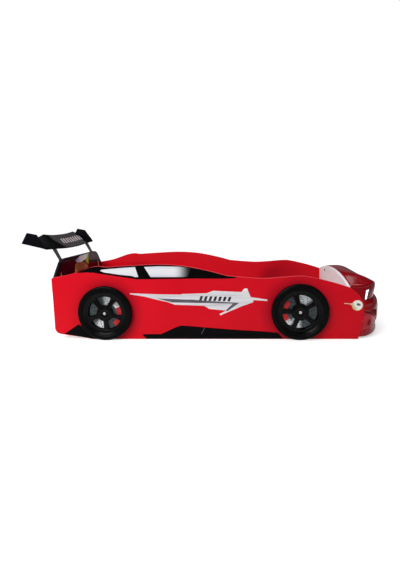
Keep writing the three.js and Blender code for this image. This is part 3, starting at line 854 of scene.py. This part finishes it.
SIDE_VIEW = [(1938, 420), (2030, 408), (2076, 388), (2133, 362), (2185, 334), (2212, 316), (2220, 296)]
PROFILE = eased(spline(SIDE_VIEW, 12), 50, 2180)


def soft_min(a, b, blend):
    """The smaller of two values, rounded where they meet."""
    h = max(blend - abs(a - b), 0) / blend
    return min(a, b) - h * h * blend / 4


def bonnet_edge():
    """Plan of the bonnet from its right rear corner round the nose to the left one."""
    flank = [BONNET_REAR + (BONNET_SIDE - BONNET_REAR) * i / 8 for i in range(8)]
    edge = [(x, -INNER_HALF) for x in flank]
    for i in range(121):
        a = -math.pi / 2 + math.pi * i / 120
        edge.append((BONNET_SIDE + BONNET_NOSE * math.cos(a), INNER_HALF * math.sin(a)))
    return edge + [(x, INNER_HALF) for x in reversed(flank)]


def bonnet_top(x, y):
    """Height of the bonnet's top, with two long swellings and a dip between them."""
    height = soft_min(arch(y, BONNET_CREST), interpolate(PROFILE, x), 16)
    swelling = 5 * math.exp(-(((abs(y) - 300) / 95) ** 2)) - 3.5 * math.exp(-((y / 150) ** 2))
    return height + swelling * smoothstep(2210, 2120, x) * smoothstep(BONNET_REAR, 2005, x)


def nose_lean(z):
    """How far the nose's wall has leaned back at a height."""
    start, most = NOSE_LEAN
    return most * max(0, (start - z) / (start - NOSE_BOTTOM))


def bonnet_rows():
    """Rings from the middle of the rear edge out to the rounded edge, then down the wall."""
    edge = bonnet_edge()
    shares = [i / 14 * 0.84 for i in range(15)]
    shares += [0.86, 0.875, 0.885, 0.89, 0.895, 0.905, 0.92, 0.94, 0.955, 0.965, 0.975, 0.985, 0.993, 1.0]
    rows = []
    for share in shares:
        row = []
        for edge_x, edge_y in edge:
            x = BONNET_REAR + (edge_x - BONNET_REAR) * share
            y = edge_y * share
            inside = min(math.hypot(edge_x - BONNET_REAR, edge_y) * (1 - share), LIP)
            drop = LIP - math.sqrt(LIP**2 - (LIP - inside) ** 2)
            groove = 1.6 * math.exp(-(((share - SEAM) / 0.0045) ** 2)) if edge_x > 2046 else 0
            row.append((along(x), y * MM, (bonnet_top(x, y) - drop - groove) * MM))
        rows.append(row)
    rim = rows[-1]
    for step in range(1, 13):
        row = []
        for (edge_x, edge_y), top in zip(edge, rim):
            z = top[2] / MM + (NOSE_BOTTOM - top[2] / MM) * step / 12
            pull = nose_lean(z) * max(0, (edge_x - BONNET_SIDE) / BONNET_NOSE)
            row.append((along(edge_x - pull), edge_y * MM, z * MM))
        rows.append(row)
    return rows


bonnet = grid("bonnet_fine", bonnet_rows(), 3.5 * MM, angle=50)
made(bonnet, "bed", RED_SHELL, "red_shell", "bonnet_shell")


def bonnet_wall_y(x, z):
    """Half width in mm of the bonnet's wall at x and z in mm."""
    beyond = max(0, x - BONNET_SIDE) / (BONNET_NOSE - nose_lean(z))
    return INNER_HALF * math.sqrt(max(0, 1 - beyond**2))


def wall_patch(name, corners, side, proud):
    """A patch between four corners that follows the bonnet's wall, standing proud of it."""
    rows = []
    shares = [i / 14 for i in range(15)]
    for v in shares:
        row = []
        for u in shares:
            x, z = ((a * (1 - u) + b * u) * (1 - v) + (d * (1 - u) + c * u) * v
                    for a, b, c, d in zip(*corners))
            inwards = min(u, 1 - u, v, 1 - v)
            crown = proud * math.sqrt(min(1, inwards * 6 + 0.02))
            row.append((along(x), SIDES[side] * (bonnet_wall_y(x, z) + crown) * MM, z * MM))
        rows.append(row)
    return grid(name, rows)


LAMP_WINDOW = [(2056, 254), (2081, 254), (2093, 321), (2063, 315)]
LAMP_GLOW = [(2063, 256), (2074, 256), (2089, 319), (2069, 314)]
for side in SIDES:
    surround = wall_patch(f"headlight_surround_{side}", LAMP_WINDOW, side, 1.2)
    made(surround, "bed", BEZEL, "black_plastic")
    lens = wall_patch(f"headlight_glow_lens_{side}", LAMP_GLOW, side, 3)
    made(lens, "bed", HEADLIGHT, "headlight_glass", f"headlight_lens_{side}")
    lamp = frame["nodes"][f"headlight_lamp_{side}"].data
    lamp.materials.clear()
    lamp.materials.append(BLACK_PLASTIC)

# ---- Bumper ----

BUMPER_FRONT = 2236
BUMPER_HALF = 515
# Down the section: height, and how far the outline is drawn in there.
BUMPER_LEVELS = [
    (12, 60), (12, 40), (12.2, 24), (20, 11), (32, 6), (44, 8), (56, 14), (70, 15), (86, 11), (102, 4),
    (130, 0), (165, 0), (195, 0), (218, 4), (236, 14), (250, 36), (250, 60),
]
GRILLE_HALF = 215
GRILLE_Z = (78, 178)
GRILLE_ANGLE = math.degrees(math.asin(GRILLE_HALF / BUMPER_HALF))
# The recesses in the sides, as (degrees from straight ahead, height), and for the slot half its width too.
DUCT = [(77, 190), (78, 171), (67.5, 153), (57, 141), (54.5, 146), (54.5, 176), (57.5, 181), (64, 185)]
SLOT = [
    (88.5, 183.5, 0.6), (83, 176.5, 2.4), (77.5, 168.5, 3.6), (72, 160, 4), (67.5, 152.5, 4),
    (62, 145, 3.4), (57, 139.5, 1.6),
]
CREASE = [(91, 185), (87.5, 181), (77.5, 168), (67.5, 151), (56, 138), (50, 134)]
LOWER_PANEL = [
    (88.5, 172), (83.5, 166), (66.5, 147), (61.5, 134), (52, 112), (46, 74), (58.5, 73), (84.5, 50),
    (88, 100),
]


def inside_distance(u, w, outline, unit):
    """Distance in mm inside an outline in (degrees, mm); negative outside. unit is mm per degree."""
    nearest, within = math.inf, False
    for i, (u0, w0) in enumerate(outline):
        u1, w1 = outline[(i + 1) % len(outline)]
        du, dw = (u1 - u0) * unit, w1 - w0
        pu, pw = (u - u0) * unit, w - w0
        t = min(max((pu * du + pw * dw) / (du * du + dw * dw), 0), 1)
        nearest = min(nearest, math.hypot(pu - t * du, pw - t * dw))
        if (w0 > w) != (w1 > w) and u < (u1 - u0) * (w - w0) / (w1 - w0) + u0:
            within = not within
    return nearest if within else -nearest


def bumper_dent(degrees, z):
    """How deep the bumper's recesses are at an angle from straight ahead and a height."""
    u = abs(degrees)
    unit = 3.8 if u > 60 else 5.4
    depth = 5 + 15 * smoothstep(138, 188, z)
    dent = depth * smoothstep(-1, 3, inside_distance(u, z, DUCT, unit))
    dent += 2.6 * smoothstep(-1.2, 1.2, inside_distance(u, z, LOWER_PANEL, unit))
    for (u0, z0), (u1, z1) in zip(CREASE, CREASE[1:]):
        if u1 <= u <= u0:
            line = z0 + (z1 - z0) * (u - u0) / (u1 - u0)
            dent += 6 * math.exp(-(((z - line) / 2.4) ** 2)) * smoothstep(50, 55, u)
    return dent


def bumper_plan(z, pull):
    """Where the bumper's outline starts, how far it reaches forwards and its half width, in mm."""
    start = front_edge(z) + 1
    return start, BUMPER_FRONT - pull - start, BUMPER_HALF - pull / 2


def bumper_point(degrees, z, pull, dent):
    a = math.radians(degrees)
    start, reach, wide = bumper_plan(z, pull)
    facing = Vector((math.cos(a) / reach, math.sin(a) / wide)).normalized()
    x = start + reach * math.cos(a) - dent * facing.x
    y = wide * math.sin(a) - dent * facing.y
    return (along(x), y * MM, z * MM)


def bumper_heights():
    """Heights and pulls down the bumper's section, with the grille's edges among them."""
    fine = spline(BUMPER_LEVELS, 9)
    for edge in GRILLE_Z:
        nearest = min(range(len(fine)), key=lambda i: abs(fine[i][0] - edge))
        fine[nearest] = (edge, fine[nearest][1])
    return fine


def bumper_angles():
    """Angles across the bumper in degrees, with the grille's edges among them."""
    inner = [GRILLE_ANGLE * i / 30 for i in range(30)]
    outer = [GRILLE_ANGLE + (90 - GRILLE_ANGLE) * i / 110 for i in range(111)]
    half_turn = inner + outer
    return [-a for a in reversed(half_turn[1:])] + half_turn


angles, heights = bumper_angles(), bumper_heights()
bumper_rows = []
for z, pull in heights:
    bumper_rows.append([bumper_point(a, z, pull, bumper_dent(a, z)) for a in angles])


def in_grille(r, c):
    """Whether a face of the bumper's grid lies in the grille's opening."""
    z = (heights[r][0] + heights[r + 1][0]) / 2
    return abs(angles[c] + angles[c + 1]) / 2 < GRILLE_ANGLE + 1e-6 and GRILLE_Z[0] < z < GRILLE_Z[1]


bumper = grid("bumper_fine", bumper_rows, 3 * MM, angle=50, skip=in_grille)
made(bumper, "bed", RED_SHELL, "red_shell", "bumper_shell")


def grille_holes(reach):
    """Six-sided openings (u, z) in staggered rows, within a reach to either side."""
    pitch, bar = 17, 2.2
    size = (pitch - bar) / math.sqrt(3)
    corners = [(size * math.sin(k * math.pi / 3), size * math.cos(k * math.pi / 3)) for k in range(6)]
    holes = []
    row = 0
    z = GRILLE_Z[0] - 4
    while z < GRILLE_Z[1] + 4:
        u = -reach + pitch * (0.7 + 0.5 * (row % 2))
        while u < reach - pitch * 0.6:
            holes.append([(u + du, z + dz) for du, dz in corners])
            u += pitch
        z += pitch * 0.87
        row += 1
    return holes


def grille_mesh():
    """A plate of six-sided openings bent round the bumper's nose."""
    reach = GRILLE_HALF + 9
    z_low, z_high = GRILLE_Z[0] - 14, GRILLE_Z[1] + 14
    across = [-reach + 2 * reach * i / 40 for i in range(41)]
    outline = [(u, z_low) for u in across] + [(u, z_high) for u in reversed(across)]
    verts, faces = flat_fill(outline, grille_holes(reach), 3, 0.6, 1)
    bent = [bumper_point(math.degrees(math.asin(u / 510)), z, 9 - t, 0) for u, z, t in verts]
    return solid("grille_honeycomb", bent, faces)


def grille_back():
    """The dark plate that closes the honeycomb from behind."""
    widest = math.degrees(math.asin((GRILLE_HALF + 10) / BUMPER_HALF))
    turns = [widest * i / 20 for i in range(-20, 21)]
    levels = [GRILLE_Z[0] - 10 + (GRILLE_Z[1] - GRILLE_Z[0] + 20) * i / 4 for i in range(5)]
    return grid("grille_back_plate", [[bumper_point(a, z, 15, 0) for a in turns] for z in levels], MM)


made(grille_mesh(), "bed", GRILLE, "grille_black", "grille_insert")
made(grille_back(), "bed", GRILLE, "grille_black")


def bumper_slot_shade(side):
    """A black strip of painted shade along the slanted slot under a bumper recess, laid just proud of the
    groove's bottom.
    """
    centres = spline(SLOT, 6)
    rows = []
    for share in (-1, -0.4, 0.4, 1):
        row = []
        for degrees, z, half in centres:
            height = z + share * half
            lift = bumper_dent(degrees, height) - 0.8
            row.append(bumper_point(SIDES[side] * degrees, height, interpolate(heights, height), lift))
        rows.append(row)
    return grid(f"bumper_slot_shade_{side}", rows)


def bumper_wall_y(x, z):
    """Half width in mm of the bumper's wall at x and z in mm."""
    start, reach, wide = bumper_plan(z, interpolate(heights, z))
    return wide * math.sqrt(max(0, 1 - ((x - start) / reach) ** 2))


def fog_lens(side):
    """A domed oval lens that follows the bumper's side."""
    middle_x, middle_z, half_x, half_z = 2096, 101, 15, 24
    rings, around = 8, 40
    rows = []
    for ring in range(rings + 1):
        share = ring / rings
        dome = 2.5 * math.sqrt(1 - share**2) - 2.4
        row = []
        for i in range(around + 1):
            a = 2 * math.pi * i / around
            x, z = middle_x + half_x * share * math.cos(a), middle_z + half_z * share * math.sin(a)
            row.append((along(x), SIDES[side] * (bumper_wall_y(x, z) + dome) * MM, z * MM))
        rows.append(row)
    return grid(f"fog_lens_{side}", rows)


# Black strips: painted shade in the slanted slots.
for side in SIDES:
    made(bumper_slot_shade(side), "bed", BLACK_PLASTIC, "black_plastic")
for side in SIDES:
    made(fog_lens(side), "bed", FOG, "fog_lens", f"fog_lamp_{side}")


def driver_box():
    """The lamps' driver, a housing with six vents."""
    low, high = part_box("lamp_driver_box")
    slots = []
    for i in range(6):
        y = -0.030 + 0.012 * i
        slots.append(rounded(y, y + 0.004, low.z + 0.015, high.z - 0.015, 0.0015, 2)[::-1])
    return plate("driver_housing", rounded(low.y, high.y, low.z, high.z, 0.006, 5), "YZ", low.x, high.x,
                 1.2 * MM, holes=slots)


made(driver_box(), "bed", BLACK_PLASTIC, "black_plastic", "lamp_driver_box")

# ---- Wing ----

WING_REAR, WING_FRONT = -138, -35
WING_SAG = 7
# Across the wing: y, height of the rear edge and height of the front edge.
WING_STATIONS = [
    (0, 697, 606), (110, 698, 607), (210, 704, 611), (282, 710, 615), (380, 690, 619), (465.7, 668, 622),
]


def wing_top(rear, front, share):
    """X and height of the dished upper face at a share of the way from rear to front edge."""
    x = WING_REAR + (WING_FRONT - WING_REAR) * share
    return x, rear + (front - rear) * share - 4 * WING_SAG * share * (1 - share)


def wing_section(rear, front):
    """Closed section of the blade in (x, z), thinner towards its rear edge."""
    shares = [i / 14 for i in range(15)]
    upper = [wing_top(rear, front, share) for share in shares]
    nose = [(WING_FRONT + 2.2, front - 2.5), (WING_FRONT + 3.4, front - 6), (WING_FRONT + 2.4, front - 9.5)]
    lower = []
    for share in reversed(shares):
        x, z = wing_top(rear, front, share)
        lower.append((x, z - 6 - 5 * min(1, share * 2)))
    return upper + nose + lower + [(WING_REAR - 1.5, rear - 3)]


def wing_sections():
    """Sections from the right end to the left, in metres. The two halves mirror each other."""
    stations = spline(WING_STATIONS[:4], 8)[:-1] + spline(WING_STATIONS[3:], 6)
    both = [(-y, rear, front) for y, rear, front in reversed(stations[1:])] + stations
    return [[(along(x), y * MM, z * MM) for x, z in wing_section(rear, front)] for y, rear, front in both]


blade = solid("wing_blade_fine", *loft_mesh(wing_sections()), 30)
made(blade, "bed", WING_BLACK, "black_plastic", "wing_blade")


def wing_surface(y, share):
    """A point of the wing's upper face at y in mm and a share from rear to front edge."""
    rear = interpolate([(place, rear) for place, rear, _ in WING_STATIONS], abs(y))
    front = interpolate([(place, front) for place, _, front in WING_STATIONS], abs(y))
    x, z = wing_top(rear, front, share)
    return Vector((along(x), y * MM, z * MM))


def wing_stroke(number):
    """A short slanted stroke printed on the wing's upper face, 24 mm wide."""
    start = -78 + 47 * number
    rows = []
    for i in range(9):
        share = 0.30 + 0.36 * i / 8
        y = start + 14 * (8 - i) / 8
        rows.append([wing_surface(y + d, share) + Vector((0, 0, 1.1 * MM)) for d in (0, 8, 16, 24)])
    return made(grid(f"wing_stroke_{number + 1}", rows), "bed", PALE_STROKE, "black_plastic")


for number in range(9):
    wing_stroke(number)

END_PLATE_OUTLINE = [(-208, 656), (-165, 728), (-98, 714), (-35, 623), (-45, 616)]
STRUT_OUTLINE = [(-11.7, 420), (5.7, 420), (5.7, 534), (-29, 608), (-62, 618), (-14, 530)]
for side in SIDES:
    for name, node, outline, bevel, steps, material, slot in (
        ("end_plate_fine", "wing_end_plate", END_PLATE_OUTLINE, 2.2 * MM, 4, END_PLATE, "black_plastic"),
        ("strut_fine", "wing_strut", STRUT_OUTLINE, 1.2 * MM, 3, STRUT, "strut_grey"),
    ):
        low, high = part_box(f"{node}_{side}")
        piece = plate(f"{name}_{side}", drawn(outline), "XZ", low.y, high.y, bevel, steps=steps)
        made(piece, "bed", material, slot, f"{node}_{side}")

# ---- Wheels ----

SPIN = {"rear": -16, "front": 32}  # where one spoke of each axle's rims points, in degrees
CALIPER_TURN = {"rear": -15, "front": 175}  # where each axle's calipers sit, in degrees
# The profiles are in mm, (radius, outwards from the side panel's face).
TYRE_PROFILE = [
    (104, 0.4), (178, 0.4), (182, 3), (184, 8), (184, 13.4), (183.3, 14.4), (184, 15.4), (184, 24),
    (183.2, 28.5), (181, 32), (177.8, 34.8), (174.5, 36), (173.4, 35.2), (172, 35.2), (171.2, 36.2),
    (165, 36.9), (158, 37), (155.8, 36.4), (154.6, 35), (152.6, 34.4), (151, 33.6), (150.2, 32.6),
    (150.2, 2.6), (149.6, 2.2), (104, 2.2), (104, 0.4),
]
# A black ring behind the disc: painted shade seen through the drilled holes.
SHADE_BACKING = [(42, 1), (103.5, 1), (103.5, 2.6), (109, 3), (109, 4), (42, 3.6), (42, 1)]
RIM_RING = [
    (148.7, 18), (148.7, 32.2), (147.9, 34.2), (145.6, 35), (143, 34.4), (141.2, 32.4), (139.6, 29.2),
    (135, 27), (128.4, 25.6), (127.6, 24.4), (119, 23.4), (115.4, 22.9), (114.2, 21.8), (114, 15.6),
    (140.7, 15.6), (148.7, 18),
]
HUB = [
    (5.6, 9.2), (30, 9.2), (55.2, 15.3), (56, 16.2), (56, 22.4), (54.6, 24.2), (51.2, 24.6), (49.4, 23),
    (46.2, 23), (44.6, 25), (36, 25.9), (20.5, 26.3), (18.9, 25.2), (12.2, 25), (11, 26), (5.6, 26),
    (5.6, 9.2),
]
DISC_HAT = [
    (6.6, 0.4), (40, 0.4), (40, 5.2), (56, 5.2), (56, 7.6), (60.5, 8.2), (61.5, 9.6), (60, 10.4),
    (56.5, 10), (52, 8.2), (6.6, 8), (6.6, 0.4),
]
NUT = [(0, 24), (5.2, 24), (5.2, 26.6), (4.4, 27.4), (0, 27.4)]
PISTON = [(0, 12), (11, 12), (11, 14.6), (9.6, 15.3), (8.6, 14.8), (0, 14.8)]
CARRIER_HEAD = [(0, 11), (6, 11), (6, 14), (5, 15), (0, 15)]
BOLT_PROFILE = [
    (0, 30.4), (3.6, 30.4), (4.4, 31.8), (7.8, 32), (9.4, 31.2), (10, 30), (10, 26.5), (5, 26.5), (5, 9),
    (0, 9),
]
# Out along a spoke: radius, half width and how far the ridges stand above their middle height.
SPOKE_STATIONS = ((42, 16.5, 0.6), (56, 15.2, 0.4), (72, 14.6, 0), (90, 15.2, -0.3), (104, 17.6, -0.6),
                  (113, 22.5, -0.9), (121, 31, -1.2))


def spoke(degrees):
    """A spoke with two ridges and a channel between them, flared where it meets the rim."""
    a = math.radians(degrees)
    sections = []
    for r, wide, lift in SPOKE_STATIONS:
        ridge = 24.9 + lift
        half = [(0.26 * wide, 22.3 + lift), (0.42 * wide, ridge), (0.80 * wide, ridge - 0.2),
                (0.95 * wide, ridge - 1), (wide, ridge - 2.4), (wide, 15.9)]
        section = [(-t, y) for t, y in reversed(half)] + half
        sections.append([(r * math.cos(a) - t * math.sin(a), y, r * math.sin(a) + t * math.cos(a))
                         for t, y in section])
    return loft_mesh(sections)


def moved_out(mesh, radius, degrees):
    """A wheel mesh moved away from the axle along an angle."""
    verts, faces = mesh
    a = math.radians(degrees)
    return [(x + radius * math.cos(a), y, z + radius * math.sin(a)) for x, y, z in verts], faces


def wheel_piece(name, label, mesh):
    """Wheel mesh in mm about the axle, y outwards, set on its axle with its own origin."""
    verts, faces = mesh
    sign = SIDES[label.split("_")[1]]
    piece = solid(f"{name}_{label}", [(x * MM, sign * y * MM, z * MM) for x, y, z in verts], faces)
    piece.location = (AXLES[label].x, sign * PANEL_OUTER, AXLES[label].z)
    return piece


def flat_piece(outline, holes, y0, y1, bevel, steps=2):
    """A flat wheel part drawn in x and z about the axle."""
    verts, faces = flat_fill(outline, holes, y1 - y0, bevel, steps)
    return [(u, (y0 + y1) / 2 + t, w) for u, w, t in verts], faces


def arc(radius, start, end):
    turn = [math.radians(start + (end - start) * i / 24) for i in range(25)]
    return [(radius * math.cos(a), radius * math.sin(a)) for a in turn]


def sector(inner, outer, start, end):
    return arc(outer, start, end) + arc(inner, end, start)


def disc_mesh():
    """A drilled ring on a hat."""
    drilled = []
    for arm in range(15):
        for k, r in enumerate((70, 83, 96)):
            a = math.radians(24 * arm + 7 * k)
            drilled.append(circle(r * math.cos(a), r * math.sin(a), 3.9, count=14)[::-1])
    ring = flat_piece(circle(0, 0, 110, count=120), [circle(0, 0, 54, count=72)[::-1], *drilled], 5, 8, 0.5)
    return joined(ring, lathe_mesh(DISC_HAT))


def rim_mesh(turn):
    """Ring, hub, five spokes from an angle on, and a nut between each two of them."""
    spokes = [spoke(turn + 72 * k) for k in range(5)]
    nuts = [moved_out(lathe_mesh(NUT, 6), 31, turn + 36 + 72 * k) for k in range(5)]
    return joined(lathe_mesh(RIM_RING, 144), lathe_mesh(HUB), *spokes, *nuts)


def caliper_mesh(turn):
    body = flat_piece(sector(82, 122, turn - 37, turn + 37), [], 8.5, 14, 1.4, 3)
    bridge = flat_piece(sector(112, 124, turn - 34, turn + 34), [], 0.4, 14, 1.2)
    pistons = [moved_out(lathe_mesh(PISTON, 32), 101, turn + offset) for offset in (-19, 19)]
    return joined(body, bridge, *pistons)


def bracket_mesh(turn):
    """The silver carrier at one end of the caliper."""
    arm = flat_piece(sector(78, 112, turn + 38, turn + 58), [], 8.4, 12, 0.8)
    return joined(arm, moved_out(lathe_mesh(CARRIER_HEAD, 6), 94, turn + 48))


for label in sorted(AXLES):
    axle = label.split("_")[0]
    turn = CALIPER_TURN[axle]
    for name, mesh, body, material, slot, *replaced in (
        ("tyre_fine", lathe_mesh(TYRE_PROFILE, 144), "bed", TYRE, "tyre_black", f"tyre_{label}"),
        ("rim_fine", rim_mesh(SPIN[axle]), f"rim_body_{label}", RIM, "rim_black", f"rim_{label}"),
        ("disc_fine", disc_mesh(), "bed", DISC, "disc_silver", f"brake_disc_{label}"),
        # A black ring behind each disc, painted shade in its drilled holes.
        ("dust_shield", lathe_mesh(SHADE_BACKING, 72), "bed", GRILLE, "black_plastic"),
        ("caliper_fine", caliper_mesh(turn), "bed", CALIPER, "caliper_red", f"caliper_{label}"),
        ("caliper_bracket", bracket_mesh(turn), "bed", BOLT, "bolt_steel"),
        ("bolt_fine", lathe_mesh(BOLT_PROFILE, 48), "bed", BOLT, "bolt_steel", f"centre_bolt_{label}"),
    ):
        made(wheel_piece(name, label, mesh), body, material, slot, *replaced)

# ---- Stage, light and camera ----


def make_floor():
    """A pale floor, darker away from the bed, with its own light where the camera sees it."""
    f = Finish("studio_floor", 0, Roughness=1)
    pale = f.ramp(f.noise(2, 2), (0.3, (0.8, 0.8, 0.8)), (0.7, (0.82, 0.82, 0.82)))
    outside = []
    for axis, half in (("X", 1.1), ("Y", 0.5)):
        beyond = f.math("MAXIMUM", f.math("SUBTRACT", f.math("ABSOLUTE", f.axis(axis)), half), 0)
        outside.append(f.math("POWER", beyond, 2))
    seen = f.node("ShaderNodeLightPath").outputs["Is Camera Ray"]
    away = f.math("ADD", f.math("POWER", f.axis("X"), 2), f.math("POWER", f.axis("Y"), 2))
    f.set("Emission Color", (1, 1, 1))
    f.set("Emission Strength", f.math("MULTIPLY", seen, f.span(away, 0.5, 1, 1, 5)))
    return f.done(f.mix(f.span(f.math("ADD", *outside), 0, 1, 0.2, 1.9), pale, (0.16, 0.16, 0.16)))


FLOOR_CORNERS = [(-30, -30, 0), (30, -30, 0), (30, 30, 0), (-30, 30, 0)]
floor = solid("studio_floor_sheet", FLOOR_CORNERS, [(0, 1, 2, 3)])
floor.data.materials.append(make_floor())


def soft_light(name, place, aim, size, watts):
    """A rectangular lamp at a place, turned to an aim."""
    light = bpy.data.lights.new(name, "AREA")
    light.shape = "RECTANGLE"
    light.size, light.size_y = size
    light.energy = watts
    lamp = link(name, light)
    lamp.location = place
    lamp.rotation_euler = (Vector(aim) - Vector(place)).to_track_quat("-Z", "Y").to_euler()


soft_light("key_above_front", (-2.4, -4.2, 4.4), (-0.3, -0.2, 0.2), (4, 2.6), 270)
soft_light("top_rear", (0.3, 2.6, 4.6), (0, 0, 0.3), (4.5, 2.2), 100)
soft_light("bonnet_glint", (1.62, 2.956, 2.45), (0.985, -0.39, 0.36), (0.72, 0.36), 0.8)
soft_light("left_side", (-4.2, 0.5, 2.8), (0, 0, 0.3), (2.5, 2.5), 40)


def studio_world():
    """White behind everything, even fill light, and a low pale wall under a dark ceiling to reflect."""
    world = bpy.data.worlds.new("studio")
    world.use_nodes = True
    world.node_tree.nodes.clear()
    w = Nodes(world.node_tree)
    where = w.node("ShaderNodeTexCoord").outputs["Generated"]
    walls = ((0, 0.66), (0.17, 0.6), (0.25, 0.05), (1, 0.04))
    height = w.ramp(w.part(where, "Z"), *((stop, (grey, grey, grey)) for stop, grey in walls))
    behind = w.span(w.part(where, "Y"), 1, 0.18, -0.1, 0.4)
    shade = w.node("ShaderNodeBackground", {"Color": w.math("MULTIPLY", height, behind), "Strength": 1.0})
    rays = w.node("ShaderNodeLightPath")
    for name, grey in (("Is Diffuse Ray", 0.3), ("Is Camera Ray", 1)):
        even = w.node("ShaderNodeBackground", {"Color": (grey, grey, grey)})
        inputs = {0: rays.outputs[name], 1: shade.outputs[0], 2: even.outputs[0]}
        shade = w.node("ShaderNodeMixShader", inputs)
    w.node("ShaderNodeOutputWorld", {"Surface": shade.outputs[0]})
    bpy.context.scene.world = world


studio_world()
bpy.context.scene.view_settings.view_transform = "Standard"


CAMERA_PLACE = (0.250816, -3.329204, 0.812544)
CAMERA_LENS = 27.614  # focal length in mm on a 36 mm sensor
CAMERA_YAW, CAMERA_PITCH = 5.275, 8.990  # degrees
CAMERA_ROLL = -0.02571  # radians


def set_camera():
    """The photo's viewpoint: 3.3 m to the right, at 0.81 m, looking 9 degrees down."""
    yaw, pitch, roll = math.radians(CAMERA_YAW), math.radians(CAMERA_PITCH), CAMERA_ROLL
    forward = Vector((-math.sin(yaw) * math.cos(pitch), math.cos(yaw) * math.cos(pitch), -math.sin(pitch)))
    right = Vector((math.cos(yaw), math.sin(yaw), 0))
    up = right.cross(forward)
    right, up = (math.cos(roll) * right + math.sin(roll) * up, math.cos(roll) * up - math.sin(roll) * right)
    camera = bpy.data.cameras.new("camera")
    camera.sensor_width = 36
    camera.lens = CAMERA_LENS
    eye = link("camera", camera)
    turn = Matrix((right, up, -forward)).transposed().to_4x4()
    eye.matrix_world = Matrix.Translation(CAMERA_PLACE) @ turn
    bpy.context.scene.camera = eye


set_camera()
